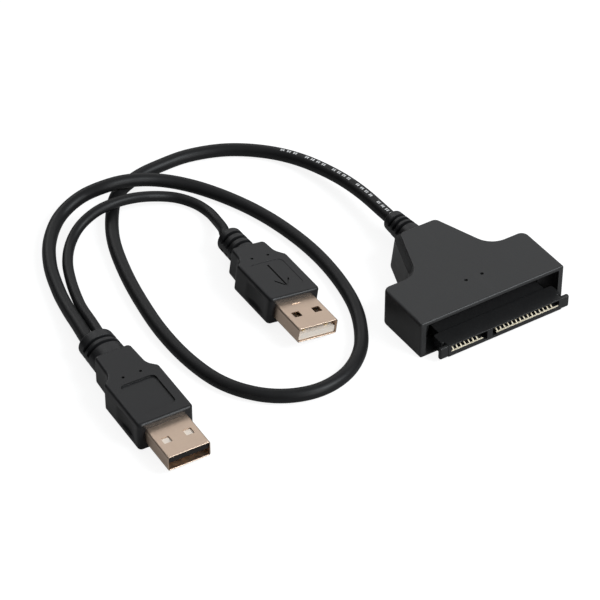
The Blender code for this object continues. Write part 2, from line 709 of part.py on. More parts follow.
def build_receptacle():
    """Make the receptacle: a nose with two keyed slots, a guide ear at each end and a tail."""
    nose_left, nose_right = SLOT_LEFT_X - NOSE_END_WALL, SLOT_RIGHT_X + NOSE_END_WALL
    middle = RECEPTACLE_SHIFT
    half_nose = (nose_right - nose_left) / 2
    half_shoulder = half_nose + SHOULDER_WIDTH
    half_tail = half_nose - TAIL_INSET
    corners = mirrored(
        (
            (half_nose, NOSE_FRONT_Y, 0.0),
            (half_nose, SHOULDER_FRONT_Y, 0.0),
            (half_shoulder, SHOULDER_FRONT_Y, 0.0),
            (half_shoulder, SHOULDER_BACK_Y, SHOULDER_CORNER),
            (half_tail, SHOULDER_BACK_Y, 0.0),
            (half_tail, TAIL_BACK_Y, 0.0),
        )
    )
    receptacle = plate(
        "sata_receptacle", [rounded_outline(corners)], NOSE_BOTTOM, NOSE_TOP_Z, "receptacle_black"
    )
    receptacle.location.x = middle
    overlap = GAP
    for name, side in (("left_ear_guide", -1), ("right_ear_guide", 1)):
        inner = middle + side * (half_nose - overlap)
        outer = middle + side * (half_nose + EAR_WIDTH)
        ear = box(
            name,
            (min(inner, outer), NOSE_FRONT_Y + EAR_SETBACK, NOSE_BOTTOM - EAR_DROP),
            (max(inner, outer), NOSE_FRONT_Y + EAR_DEPTH, NOSE_TOP_Z - EAR_TOP_DROP),
            edge=EAR_EDGE,
        )
        join(receptacle, ear)
    tail_top = box(
        "tail_top_cutter",
        (nose_left - EAR_WIDTH, SHOULDER_BACK_Y, TAIL_TOP_Z),
        (nose_right + EAR_WIDTH, TAIL_BACK_Y + TAIL_LENGTH, HOUSING_HEIGHT),
    )
    cut(receptacle, tail_top)
    mouth, slot_end = NOSE_FRONT_Y - SLOT_DEPTH, NOSE_FRONT_Y + SLOT_DEPTH
    slots = (
        ((SLOT_LEFT_X, mouth, SLOT_FLOOR_Z), (SIGNAL_SLOT_RIGHT_X, slot_end, SLOT_ROOF_Z)),
        ((POWER_SLOT_LEFT_X, mouth, SLOT_FLOOR_Z), (SLOT_RIGHT_X, slot_end, SLOT_ROOF_Z)),
    )
    cut(receptacle, boxes("slot_cutter", slots))
    key_floor, key_roof = SLOT_FLOOR_Z - KEY_DROP, SLOT_FLOOR_Z + SLOT_HEIGHT / 2
    keys = (
        ((SIGNAL_SLOT_RIGHT_X - KEY_WIDTH, mouth, key_floor), (SIGNAL_SLOT_RIGHT_X, slot_end, key_roof)),
        ((POWER_SLOT_LEFT_X, mouth, key_floor), (POWER_SLOT_LEFT_X + KEY_WIDTH, slot_end, key_roof)),
    )
    cut(receptacle, boxes("key_cutter", keys))
    half_hole = CONTACT_WIDTH / 2 + CONTACT_GAP
    half_rise = CONTACT_THICKNESS / 2 + CONTACT_GAP
    holes = [
        (
            (x - half_hole, slot_end - GAP, CONTACT_Z - half_rise),
            (x + half_hole, TAIL_BACK_Y + TAIL_LENGTH, CONTACT_Z + half_rise),
        )
        for _, x in contact_places()
    ]
    cut(receptacle, boxes("contact_hole_cutter", holes))


def strip(name, path, width, thickness, finish, parent=None):
    """Make a stamped strip: a (y, z) path given a thickness and drawn out to a width along X."""
    shape = bmesh.new()
    left = [shape.verts.new((-width / 2, y, z)) for y, z in path]
    right = [shape.verts.new((width / 2, y, z)) for y, z in path]
    for index in range(len(path) - 1):
        shape.faces.new((left[index], right[index], right[index + 1], left[index + 1]))
    thing = add_object(name, mesh_from_bmesh(name, shape), finish, parent)
    body = thing.modifiers.new("thickness", "SOLIDIFY")
    body.thickness = thickness
    body.offset = 0.0
    return thing


def build_contacts():
    """Make the receptacle's contacts, each dipping at the mouth and lying on the board behind."""
    tip = NOSE_FRONT_Y + CONTACT_SETBACK
    path = (
        (tip, CONTACT_Z + CONTACT_DIP / 2),
        (tip + CONTACT_DIP_RUN / 2, CONTACT_Z - CONTACT_DIP / 2),
        (tip + CONTACT_DIP_RUN, CONTACT_Z - CONTACT_DIP),
        (tip + 2 * CONTACT_DIP_RUN, CONTACT_Z),
        (BOARD_FRONT_Y + CONTACT_TAIL_ON_BOARD, CONTACT_Z),
    )
    for name, x in contact_places():
        contact = strip(name, path, CONTACT_WIDTH, CONTACT_THICKNESS, "contact_gold")
        contact.location.x = x


def component(name, size, centre_x, front_y, finish, edge=0.0):
    """Make a component that sits on the board."""
    width, depth, height = size
    return box(
        name,
        (centre_x - width / 2, front_y, COMPONENT_BASE_Z),
        (centre_x + width / 2, front_y + depth, COMPONENT_BASE_Z + height),
        finish,
        edge=edge,
    )


def build_board():
    """Make the circuit board and the components on it."""
    plate("circuit_board", [board_outline()], BOARD_BOTTOM_Z, BOARD_TOP_Z, "board_green")
    chip_front = BOARD_STEP_Y + (BOARD_STEM_LENGTH - BRIDGE_CHIP_SIZE[1]) / 2
    component("bridge_chip", BRIDGE_CHIP_SIZE, 0.0, chip_front, "chip_black")
    row = (
        ("crystal", CRYSTAL_SIZE, "can_steel"),
        ("input_capacitor", CAPACITOR_SIZE, "capacitor_tan"),
        ("regulator", REGULATOR_SIZE, "chip_black"),
        ("output_capacitor", CAPACITOR_SIZE, "capacitor_tan"),
    )
    for index, (name, size, finish) in enumerate(row):
        place = (index - (len(row) - 1) / 2) * COMPONENT_SPACING
        component(name, size, place, COMPONENT_ROW_FRONT_Y, finish)


def plug_frame(name, tip, height, yaw, roll):
    """Make the empty that a plug's pieces hang on: its tip at the origin, its cord along +Y."""
    frame = bpy.data.objects.new(name, None)
    PARTS.objects.link(frame)
    frame.location = (tip[0], tip[1], height)
    frame.rotation_mode = "XYZ"
    frame.rotation_euler = (0.0, roll, yaw)
    return frame


def build_shell(prefix, frame):
    """Make a plug's folded metal shell with two windows above and two below."""
    def ring(inset):
        half_width, half_height = SHELL_WIDTH / 2 - inset, SHELL_HEIGHT / 2 - inset
        radius = max(SHELL_CORNER - inset, SHELL_WALL / 2)
        return rounded_outline(
            (
                (half_width, -half_height, radius),
                (half_width, half_height, radius),
                (-half_width, half_height, radius),
                (-half_width, -half_height, radius),
            ),
            steps=4,
        )

    shell = plate(
        prefix + "_shell", [ring(0.0), ring(SHELL_WALL)], 0.0, SHELL_BACK, "shell_nickel", parent=frame
    )
    shell.rotation_euler = (math.radians(-90.0), 0.0, 0.0)
    shell.location = (0.0, SHELL_BACK / 2, 0.0)
    half_window = WINDOW_WIDTH / 2
    windows = [
        (
            (side * WINDOW_SPACING / 2 - half_window, WINDOW_SETBACK - WINDOW_LENGTH / 2, -SHELL_HEIGHT),
            (side * WINDOW_SPACING / 2 + half_window, WINDOW_SETBACK + WINDOW_LENGTH / 2, SHELL_HEIGHT),
        )
        for side in (-1, 1)
    ]
    cut(shell, boxes(prefix + "_window_cutter", windows, parent=frame))


def build_tongue(prefix, frame):
    """Make a plug's insulator: a tongue below the cavity and a full-height base behind it."""
    half_width = INNER_HALF_WIDTH - CONTACT_GAP
    tongue = box(
        prefix + "_tongue",
        (-half_width, TONGUE_SETBACK, TONGUE_BOTTOM_Z),
        (half_width, TONGUE_BACK, INNER_HALF_HEIGHT - CONTACT_GAP),
        "insulator_cream",
        parent=frame,
    )
    cavity_back = TONGUE_SETBACK + TONGUE_REACH
    cut(
        tongue,
        box(
            prefix + "_cavity_cutter",
            (-SHELL_WIDTH, -TONGUE_REACH, TONGUE_TOP_Z),
            (SHELL_WIDTH, cavity_back, SHELL_HEIGHT),
            parent=frame,
        ),
    )
    half_channel = USB_CONTACT_WIDTH / 2 + CONTACT_GAP
    channel_roof = TONGUE_TOP_Z + 2 * CONTACT_GAP + USB_CONTACT_THICKNESS
    channels = [
        (
            (x - half_channel, cavity_back - GAP, TONGUE_TOP_Z),
            (x + half_channel, 2 * TONGUE_BACK, channel_roof),
        )
        for x in USB_CONTACT_OFFSETS
    ]
    cut(tongue, boxes(prefix + "_channel_cutter", channels, parent=frame))


def build_usb_contacts(prefix, frame):
    """Make a plug's four contacts, the outer two reaching nearer the mouth."""
    z = TONGUE_TOP_Z + CONTACT_GAP + USB_CONTACT_THICKNESS / 2
    for index, x in enumerate(USB_CONTACT_OFFSETS):
        late = USB_CONTACT_LATE if 0 < index < len(USB_CONTACT_OFFSETS) - 1 else 0.0
        start = TONGUE_SETBACK + USB_CONTACT_SETBACK + late
        path = ((start, z), (TONGUE_BACK + USB_CONTACT_TAIL, z))
        contact = strip(
            f"{prefix}_contact_{index + 1}",
            path,
            USB_CONTACT_WIDTH,
            USB_CONTACT_THICKNESS,
            "contact_gold",
            parent=frame,
        )
        contact.location.x = x


def build_grip(prefix, frame, grip_size, neck_length, relief):
    """Make a plug's moulded grip: wide body, narrow neck and strain relief."""
    width, grip_length, height = grip_size
    front = SHELL_REACH
    shoulder = front + grip_length
    rear = shoulder + neck_length
    corners = mirrored(
        (
            (width / 2, front, GRIP_CORNER),
            (width / 2, shoulder, GRIP_CORNER),
            (GRIP_NECK_FRONT / 2, shoulder + GRIP_SHOULDER_RUN, GRIP_FILLET),
            (GRIP_NECK_REAR / 2, rear, GRIP_CORNER),
        )
    )
    half_height = height / 2
    grip = plate(
        prefix + "_grip",
        [rounded_outline(corners, steps=4)],
        -half_height,
        half_height,
        "moulded_black",
        parent=frame,
        edge=GRIP_EDGE,
    )
    relief_sizes, relief_slots, flatness = relief
    strain_relief(prefix + "_relief", grip, rear, relief_sizes, relief_slots, flatness)
    cut(
        grip,
        box(
            prefix + "_pocket_cutter",
            (-SHELL_WIDTH / 2 - GAP, -GAP, -SHELL_HEIGHT / 2 - GAP),
            (SHELL_WIDTH / 2 + GAP, PLUG_POCKET_BACK, SHELL_HEIGHT / 2 + GAP),
            parent=frame,
        ),
    )
    scoop_x = width / 2 + SCOOP_RADIUS - SCOOP_DEPTH
    scoops = [(side * scoop_x, front + SCOOP_SETBACK, 0.0) for side in (-1, 1)]
    cut(grip, cylinders(prefix + "_scoop_cutter", scoops, SCOOP_RADIUS, SCOOP_HEIGHT, 96, parent=frame))
    panel_front = front + PANEL_SETBACK
    panel = rounded_outline(
        mirrored(
            (
                (PANEL_WIDTH / 2, panel_front, PANEL_CORNER),
                (PANEL_WIDTH / 2, panel_front + PANEL_LENGTH, PANEL_CORNER),
            )
        ),
        steps=3,
    )
    for face, low in (("top", half_height - PANEL_DEPTH), ("bottom", -half_height - PANEL_DEPTH)):
        cutter = plate(
            f"{prefix}_{face}_panel_cutter", [panel], low, low + 2 * PANEL_DEPTH, parent=frame
        )
        cut(grip, cutter)
    marks = [
        (side * GRIP_MARK_SPACING / 2, front + GRIP_MARK_SETBACK, face * half_height)
        for side in (-1, 1)
        for face in (-1, 1)
    ]
    cutter = cylinders(
        prefix + "_mark_cutter", marks, GRIP_MARK_DIAMETER / 2, 2 * GRIP_MARK_DEPTH, 10, parent=frame
    )
    cut(grip, cutter)
    return rear + relief_sizes[0]


def build_plug(prefix, frame, grip_size, neck_length, relief):
    """Make all of a plug's pieces and return how far its relief's end lies from its tip."""
    build_shell(prefix, frame)
    build_tongue(prefix, frame)
    build_usb_contacts(prefix, frame)
    return build_grip(prefix, frame, grip_size, neck_length, relief)


def smooth_points(route, spacing):
    """Return evenly spaced points of the smooth curve that passes through a route."""
    padded = [2 * route[0] - route[1], *route, 2 * route[-1] - route[-2]]
    fine = []
    for before, start, end, after in zip(padded, padded[1:], padded[2:], padded[3:]):
        for step in range(20):
            t = step / 20
            fine.append(
                0.5
                * (
                    2 * start
                    + (end - before) * t
                    + (2 * before - 5 * start + 4 * end - after) * t**2
                    + (3 * start - before - 3 * end + after) * t**3
                )
            )
    fine.append(route[-1])
    lengths = [0.0]
    for start, end in zip(fine, fine[1:]):
        lengths.append(lengths[-1] + (end - start).length)
    count = max(2, round(lengths[-1] / spacing))
    points = []
    place = 0
    for index in range(count + 1):
        wanted = lengths[-1] * index / count
        while place < len(fine) - 2 and lengths[place + 1] < wanted:
            place += 1
        share = (wanted - lengths[place]) / (lengths[place + 1] - lengths[place])
        points.append(fine[place].lerp(fine[place + 1], share))
    return points


def build_cord(name, start, start_way, route, end, end_way, diameter):
    """Make a cord's tube from one relief to another, straight at first where it leaves each."""
    inner = [Vector(point) * MM for point in route]
    free = [start + start_way * CORD_LEAD, *inner, end + end_way * CORD_LEAD]
    points = smooth_points(free, CORD_POINT_SPACING * diameter)
    points = [start + start_way * GAP, *points, end + end_way * GAP]
    curve = bpy.data.curves.new(name, "CURVE")
    curve.dimensions = "3D"
    curve.bevel_depth = diameter / 2
    curve.bevel_resolution = 2
    curve.use_fill_caps = True
    spline = curve.splines.new("POLY")
    spline.points.add(len(points) - 1)
    for point, place in zip(spline.points, points):
        point.co = (*place, 1.0)
    return add_object(name, curve, "cord_black")


def build_plugs_and_cords():
    """Make both plugs where they lie, and the two cords between the three ends."""
    data_frame = plug_frame(
        "data_plug_frame", DATA_PLUG_TIP, DATA_GRIP_HEIGHT / 2, DATA_PLUG_YAW, math.radians(180.0)
    )
    power_frame = plug_frame(
        "power_plug_frame", POWER_PLUG_TIP, POWER_PLUG_Z, POWER_PLUG_YAW, POWER_PLUG_ROLL
    )
    data_relief = (
        (DATA_RELIEF_LENGTH, DATA_RELIEF_ROOT, DATA_RELIEF_END),
        (DATA_RELIEF_SLOTS, DATA_RELIEF_FIRST_SLOT, DATA_RELIEF_PITCH),
        DATA_RELIEF_FLATNESS,
    )
    power_relief = (
        (POWER_RELIEF_LENGTH, POWER_RELIEF_ROOT, POWER_RELIEF_END),
        (POWER_RELIEF_SLOTS, POWER_RELIEF_FIRST_SLOT, POWER_RELIEF_PITCH),
        1.0,
    )
    data_grip = (DATA_GRIP_WIDTH, DATA_GRIP_LENGTH, DATA_GRIP_HEIGHT)
    power_grip = (POWER_GRIP_WIDTH, POWER_GRIP_LENGTH, POWER_GRIP_HEIGHT)
    data_end = build_plug("data_plug", data_frame, data_grip, DATA_NECK_LENGTH, data_relief)
    power_end = build_plug("power_plug", power_frame, power_grip, POWER_NECK_LENGTH, power_relief)

    bpy.context.view_layer.update()
    pair_width = MAIN_CORD_DIAMETER + GAP + THIN_CORD_DIAMETER
    main_x = (pair_width - MAIN_CORD_DIAMETER) / 2 - CORD_PAIR_SHIFT
    thin_x = (THIN_CORD_DIAMETER - pair_width) / 2 - CORD_PAIR_SHIFT
    data_place = data_frame.matrix_world
    power_place = power_frame.matrix_world
    data_way = data_place.to_3x3() @ Vector((0.0, 1.0, 0.0))
    power_way = power_place.to_3x3() @ Vector((0.0, 1.0, 0.0))
    head_way = Vector((0.0, 1.0, 0.0))
    build_cord(
        "main_cord",
        Vector((0.0, HEAD_RELIEF_END_Y, HEAD_CORD_Z)),
        head_way,
        MAIN_ROUTE,
        data_place @ Vector((main_x, data_end, 0.0)),
        data_way,
        MAIN_CORD_DIAMETER,
    )
    build_cord(
        "thin_cord",
        data_place @ Vector((thin_x, data_end, 0.0)),
        data_way,
        THIN_ROUTE,
        power_place @ Vector((0.0, power_end, 0.0)),
        power_way,
        THIN_CORD_DIAMETER,
    )


build_housing()
build_receptacle()
build_contacts()
build_board()
build_plugs_and_cords()
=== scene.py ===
"""Dressed model of a USB to SATA adapter: drive connector head, two USB plugs and their cords.

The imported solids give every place. Each operator makes one group of pieces from surfaces worked
out with numpy, and the last one sets up a pale studio round them.
"""

import math

import bmesh
import bpy
import numpy as np
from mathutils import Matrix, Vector


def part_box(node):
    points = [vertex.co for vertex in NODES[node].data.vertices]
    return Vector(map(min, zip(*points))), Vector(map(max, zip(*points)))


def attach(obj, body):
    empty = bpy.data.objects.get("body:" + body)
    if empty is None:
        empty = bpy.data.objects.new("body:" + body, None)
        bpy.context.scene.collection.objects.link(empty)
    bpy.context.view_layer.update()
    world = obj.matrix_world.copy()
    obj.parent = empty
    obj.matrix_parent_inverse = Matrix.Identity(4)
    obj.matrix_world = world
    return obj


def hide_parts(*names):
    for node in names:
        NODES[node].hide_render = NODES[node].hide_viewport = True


bl_info = {
    "name": "USB to SATA Adapter",
    "version": (1, 0, 0),
    "blender": (4, 5, 0),
    "location": "3D View > Sidebar > Adapter",
    "description": "Moulded drive connector head with two USB plugs on looped cords",
    "category": "Add Mesh",
}

MM = 0.001
BODY = "root"

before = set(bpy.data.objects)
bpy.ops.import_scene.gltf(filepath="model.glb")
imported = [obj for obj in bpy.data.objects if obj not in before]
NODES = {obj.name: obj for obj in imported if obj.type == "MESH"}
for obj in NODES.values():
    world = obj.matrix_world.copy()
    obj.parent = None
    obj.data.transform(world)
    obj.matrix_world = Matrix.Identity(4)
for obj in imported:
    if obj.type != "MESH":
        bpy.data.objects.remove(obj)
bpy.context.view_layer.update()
HEAD_LOW, HEAD_HIGH = (np.array(corner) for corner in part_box("sata_housing"))
NOSE_LOW, NOSE_HIGH = (np.array(corner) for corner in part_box("sata_receptacle"))

# Route of the main cord between its two ends, once round a wide loop and over itself
MAIN_ROUTE = MM * np.array(
    (
        (0.2, 42.0, 4.9), (-1.0, 53.9, 3.9), (-4.3, 66.1, 2.7), (-10.1, 75.5, 2.0),
        (-18.9, 82.2, 2.0), (-29.2, 85.6, 2.0), (-38.6, 85.8, 2.0), (-47.2, 84.6, 2.0),
        (-55.6, 80.5, 2.0), (-61.7, 72.7, 2.0), (-67.0, 62.3, 2.0), (-70.9, 49.4, 2.0),
        (-73.5, 36.4, 2.0), (-75.2, 22.5, 2.0), (-75.1, 9.0, 2.0), (-72.8, -2.8, 2.0),
        (-67.7, -11.6, 2.0), (-60.6, -17.2, 2.0), (-52.0, -19.4, 2.0), (-43.1, -17.5, 2.0),
        (-35.5, -11.9, 2.0), (-30.0, -3.7, 2.0), (-26.3, 5.4, 2.0), (-24.0, 16.9, 2.0),
        (-23.3, 28.9, 2.0), (-24.3, 40.8, 2.0), (-26.7, 52.2, 2.0), (-30.6, 62.8, 2.0),
        (-36.3, 71.2, 2.9), (-43.5, 76.8, 4.4), (-51.3, 79.6, 5.8), (-58.7, 80.8, 6.1),
        (-66.5, 82.0, 4.4), (-74.5, 79.4, 2.6), (-81.6, 72.0, 2.0), (-86.7, 62.3, 2.0),
        (-90.0, 51.5, 2.1), (-91.9, 42.6, 2.7), (-93.2, 35.0, 3.6),
    )
)

# Route of the thin cord between its two ends, over the main cord and back
THIN_ROUTE = MM * np.array(
    (
        (-89.7, 34.0, 3.6), (-88.6, 40.6, 2.6), (-87.45, 45.5, 2.0), (-85.1, 53.4, 1.6),
        (-81.9, 61.4, 1.6), (-77.5, 68.0, 1.7), (-72.5, 71.8, 3.2), (-66.9, 73.1, 5.0),
        (-61.5, 73.2, 5.7), (-55.3, 73.4, 5.0), (-48.7, 73.1, 3.3), (-42.6, 70.7, 1.9),
        (-39.2, 65.7, 1.6), (-38.0, 60.2, 1.6), (-38.8, 54.2, 2.6), (-40.2, 48.9, 4.1),
    )
)

# Head, from the front of its hood to the back of its neck
HOOD_FRONT_Y = HEAD_LOW[1]
BLOCK_BACK_Y = -3.1 * MM
NECK_BACK_Y = 14.1 * MM
RELIEF_END_Y = HEAD_HIGH[1]
CORD_HEIGHT = HEAD_HIGH[2] / 2
BLOCK_CORNER = 2.2 * MM
NECK_FRONT_WIDTH = 24.4 * MM
NECK_BACK_WIDTH = 12.0 * MM
NECK_FILLET = 6.0 * MM
NECK_CORNER = 1.8 * MM
HOOD_FRONT_CORNER = 0.6 * MM
HOOD_BACK_CORNER = 4.5 * MM  # inside, where the side walls meet the back
HOOD_FLOOR = 0.9 * MM
TAIL_INSET = 3.3 * MM  # from each end of the receptacle to the opening for its tail
TAIL_LOW, TAIL_HIGH = 1.0 * MM, 4.78 * MM
FIT = 0.3 * MM  # room round what sits inside the head
BOARD_POCKET_LENGTH = 8.8 * MM
COMPONENT_HEIGHT = 2.6 * MM
PIN_MARKS = (2.55 * MM, 9.0 * MM, 0.5 * MM)  # half spacing, place behind the hood's front, radius
# painted highlight: a pale strip under each slot's row of contacts stands in for the lit lower edge of
# the slot
SLOT_HIGHLIGHT_STRIPS = {"signal": (-16.35 * MM, -6.2 * MM), "power": (-1.9 * MM, 18.35 * MM)}
HIGHLIGHT_STRIP_LOW, HIGHLIGHT_STRIP_HIGH, HIGHLIGHT_STRIP_DEPTH = 2.7 * MM, 2.84 * MM, 0.43 * MM

# Where each plug lies: tip, height, turn about Z and roll about its own length
PLUG_PLACES = {
    "data_plug": ((-95.0 * MM, -25.3 * MM, 4.3 * MM), math.radians(-2.1), math.radians(180.0)),
    "power_plug": ((-42.6 * MM, -2.6 * MM, 5.0504 * MM), math.radians(-1.0), math.radians(8.2)),
}
PLUG_GRIPS = {  # width, length, height, neck length
    "data_plug": (15.7 * MM, 18.6 * MM, 8.6 * MM, 11.0 * MM),
    "power_plug": (15.4 * MM, 17.4 * MM, 8.2 * MM, 7.6 * MM),
}
HEAD_RELIEF = ((11.8 * MM, 7.8 * MM, 6.0 * MM), (3, 4.7 * MM, 2.05 * MM), 1.0)
PLUG_RELIEFS = {  # (length, root, end), (slots, first slot, pitch), flatness
    "data_plug": ((9.8 * MM, 10.4 * MM, 10.0 * MM), (2, 4.0 * MM, 2.2 * MM), 0.8),
    "power_plug": ((9.2 * MM, 7.8 * MM, 7.4 * MM), (3, 1.5 * MM, 2.5 * MM), 1.0),
}
GRIP_CORNER = 1.2 * MM
GRIP_NECK = (5.6 * MM, 5.2 * MM, 2.4 * MM, 4.0 * MM)  # half width in front and behind, curve, its radius
SCOOP_RADIUS, SCOOP_MIDDLE, SCOOP_HALF_HEIGHT = 20.0 * MM, 7.0 * MM, 2.6 * MM
PANEL_DEPTHS = {"data_plug": 0.5 * MM, "power_plug": 0.1 * MM}
PANEL_HALF_WIDTH, PANEL_FRONT, PANEL_BACK, PANEL_CORNER = 5.0 * MM, 3.4 * MM, 15.8 * MM, 1.4 * MM
GRIP_MARKS = (2.5 * MM, 18.4 * MM, 0.4 * MM, 0.8 * MM)  # half spacing, place, radius, depth
ARROW_DEPTH = 0.34 * MM
SHELL_REACH = 11.9 * MM
SHELL_HALF_WIDTH, SHELL_HALF_HEIGHT, SHELL_CORNER = 6.0 * MM, 2.25 * MM, 0.6 * MM
SHELL_WALL, SHELL_IN_GRIP = 0.3 * MM, 6.8 * MM
WINDOW_MIDDLE, WINDOW_HALF_WIDTH, WINDOW_FRONT, WINDOW_BACK = 3.1 * MM, 1.15 * MM, 4.9 * MM, 7.1 * MM
# how far from the data plug's tip its tongue gets painted shade, for the shade inside the shell's mouth
TONGUE_PAINTED_SHADE_END = 2.0 * MM
CORD_PAIR_OFFSETS = (1.4 * MM, -2.3 * MM)  # main and thin cord, across the data plug
PRINT_START, PRINT_END = 1.0 * MM, 48.0 * MM  # along the main cord, from the head
PRINT_MIDDLE, PRINT_HALF_WIDTH = 0.51, 0.035  # shares of the way round the cord from underneath
DASH_STEP, DASH_LENGTH = 2.1 * MM, 1.5 * MM
DASH_GROUP_STEP, DASH_GROUP_LENGTH = 10.5 * MM, 8.0 * MM
STROKE_STEP, STROKE_GAP = 0.7 * MM, 0.22 * MM
CORD_LEAD = 2.0 * MM  # straight stretch where a cord leaves a relief
CREASE = 35.0  # degrees between two faces that still look like one curve
CAMERA_PLACE, CAMERA_TARGET = (-0.33608, -0.45386, 0.45589), (-0.0363, 0.0159, 0.0)


def place_matrix(prefix):
    """Matrix of a plug: turned by its roll about Y, then by its yaw about Z, then moved."""
    tip, yaw, roll = PLUG_PLACES[prefix]
    cos, sin = math.cos, math.sin
    about_y = np.array(((cos(roll), 0.0, sin(roll)), (0.0, 1.0, 0.0), (-sin(roll), 0.0, cos(roll))))
    about_z = np.array(((cos(yaw), -sin(yaw), 0.0), (sin(yaw), cos(yaw), 0.0), (0.0, 0.0, 1.0)))
    return about_z @ about_y, np.array(tip)


def placed(points, prefix):
    """Points of a plug's own space in the frame's space: p' = R p + tip. With no plug they stay."""
    if prefix is None:
        return points
    turn, tip = place_matrix(prefix)
    return points @ turn.T + tip


def unit(vectors):
    """Vectors divided by their lengths."""
    return vectors / np.linalg.norm(vectors, axis=-1, keepdims=True)


def whole_turn(steps):
    """Angles evenly round a circle."""
    return np.linspace(0.0, 2.0 * math.pi, steps, endpoint=False)


def lengths_along(path):
    """How far along a path each of its points lies."""
    return np.concatenate(((0.0,), np.cumsum(np.linalg.norm(np.diff(path, axis=0), axis=1))))


def rounded_path(corners, traits, arc_steps=9, run_steps=7):
    """Closed path through corners (x, y, radius), anticlockwise, with outward normals and traits.

    Each corner is the arc tangent to both its sides: centre + radius * normal, where the normal
    turns evenly from the side before to the side after. A concave corner has its centre outside,
    so its radius counts as negative. Straight runs are divided evenly. A trait has a value where
    the arc starts and one where it ends, and varies evenly between them and along the runs.
    """
    corners = np.asarray(corners, float)
    traits = np.asarray(traits, float)
    point, radius = corners[:, :2], corners[:, 2]
    way_in = unit(point - np.roll(point, 1, axis=0))
    way_out = np.roll(way_in, -1, axis=0)
    turn = np.arctan2(
        way_in[:, 0] * way_out[:, 1] - way_in[:, 1] * way_out[:, 0], (way_in * way_out).sum(axis=1)
    )
    reach = radius * np.abs(np.tan(turn / 2))
    signed = radius * np.sign(turn)
    normal_in = np.stack((way_in[:, 1], -way_in[:, 0]), axis=1)
    start = point - way_in * reach[:, None]
    centre = start - normal_in * signed[:, None]
    share = np.linspace(0.0, 1.0, arc_steps)
    angle = np.arctan2(normal_in[:, 1], normal_in[:, 0])[:, None] + turn[:, None] * share
    normals = np.stack((np.cos(angle), np.sin(angle)), axis=2)
    arcs = centre[:, None] + normals * signed[:, None, None]
    arc_traits = traits[:, 0, None] + (traits[:, 1] - traits[:, 0])[:, None] * share[None, :, None]

    run = (np.arange(run_steps) + 1.0)[None, :, None] / (run_steps + 1.0)
    following = np.roll(arcs[:, 0], -1, axis=0)
    runs = arcs[:, -1][:, None] * (1.0 - run) + following[:, None] * run
    run_normals = np.repeat(normals[:, -1][:, None], run_steps, axis=1)
    next_traits = np.roll(traits[:, 0], -1, axis=0)
    run_traits = traits[:, 1][:, None] * (1.0 - run) + next_traits[:, None] * run
    path = np.concatenate((arcs, runs), axis=1).reshape(-1, 2)
    path_normals = np.concatenate((normals, run_normals), axis=1).reshape(-1, 2)
    path_traits = np.concatenate((arc_traits, run_traits), axis=1).reshape(len(path), -1)
    return path, path_normals, path_traits


def both_sides(half):
    """A right-hand half outline, front to back, closed with its mirror image.

    Each entry is ((x, y, radius), traits where the arc starts, traits where it ends). The mirror
    image runs back to front, so its traits change places.
    """
    left = [((-x, y, radius), last, first) for (x, y, radius), first, last in reversed(half)]
    entries = (*half, *left)
    return [corner for corner, _, _ in entries], [traits for _, *traits in entries]


def quads(rows, columns, close_rows, close_columns):
    """Corner numbers of the faces of a grid of points, closed in either direction."""
    row = np.arange(rows if close_rows else rows - 1)
    column = np.arange(columns if close_columns else columns - 1)
    a, b = np.meshgrid(row, column, indexing="ij")
    a, b = a.ravel(), b.ravel()
    c, d = (a + 1) % rows, (b + 1) % columns
    return np.stack((a * columns + b, a * columns + d, c * columns + d, c * columns + b), axis=1)


def mesh_of(name, points, faces):
    """Mesh of points and of faces that name them by number."""
    mesh = bpy.data.meshes.new(name)
    mesh.from_pydata(points.reshape(-1, 3).tolist(), [], faces)
    return mesh


def linked(name, data):
    """A new object in the scene."""
    thing = bpy.data.objects.new(name, data)
    bpy.context.scene.collection.objects.link(thing)
    return thing


def smooth(mesh, crease):
    """Shade a mesh smooth up to the crease angle."""
    mesh.shade_smooth()
    mesh.set_sharp_from_angle(angle=math.radians(crease))


def grid_mesh(name, points, close_rows=False, crease=CREASE):
    """Mesh of a grid of points (rows, columns, 3) closed round its columns; open ends are capped."""
    rows, columns = points.shape[:2]
    faces = quads(rows, columns, close_rows, True).tolist()
    if not close_rows:
        faces.append(list(range(columns)))
        faces.append([(rows - 1) * columns + column for column in range(columns)])
    mesh = mesh_of(name, points, faces)
    settle(mesh, crease)
    return mesh


def settle(mesh, crease):
    """Weld doubled corners, turn every face outwards and shade smooth up to the crease angle."""
    shape = bmesh.new()
    shape.from_mesh(mesh)
    bmesh.ops.remove_doubles(shape, verts=shape.verts, dist=1e-7)
    bmesh.ops.recalc_face_normals(shape, faces=shape.faces)
    shape.to_mesh(mesh)
    shape.free()
    smooth(mesh, crease)


def show(mesh, finish, replaces=(), even=True):
    """Link a finished mesh as a piece that rides on the part, in place of the solids it shows."""
    piece = linked(mesh.name, mesh)
    mesh.materials.clear()
    mesh.materials.append(finish)
    if even:
        shading = piece.modifiers.new("even_shading", "WEIGHTED_NORMAL")
        shading.keep_sharp = True
    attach(piece, BODY)
    if replaces:
        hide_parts(*replaces)


def dress(name, finish):
    """Give one of the solids its finish."""
    materials = NODES[name].data.materials
    materials.clear()
    materials.append(finish)


def carve(mesh, cutters):
    """Cut closed meshes out of a closed mesh and return the result as one mesh."""
    name = mesh.name
    body = linked(name + "_block", mesh)
    tools = []
    for cutter in cutters:
        tool = linked(cutter.name, cutter)
        change = body.modifiers.new(cutter.name, "BOOLEAN")
        change.operation = "DIFFERENCE"
        change.object = tool
        tools.append(tool)
    bpy.context.view_layer.update()
    graph = bpy.context.evaluated_depsgraph_get()
    carved = bpy.data.meshes.new_from_object(body.evaluated_get(graph))
    for thing in (*tools, body):
        data = thing.data
        bpy.data.objects.remove(thing)
        bpy.data.meshes.remove(data)
    carved.name = name
    smooth(carved, CREASE)
    return carved


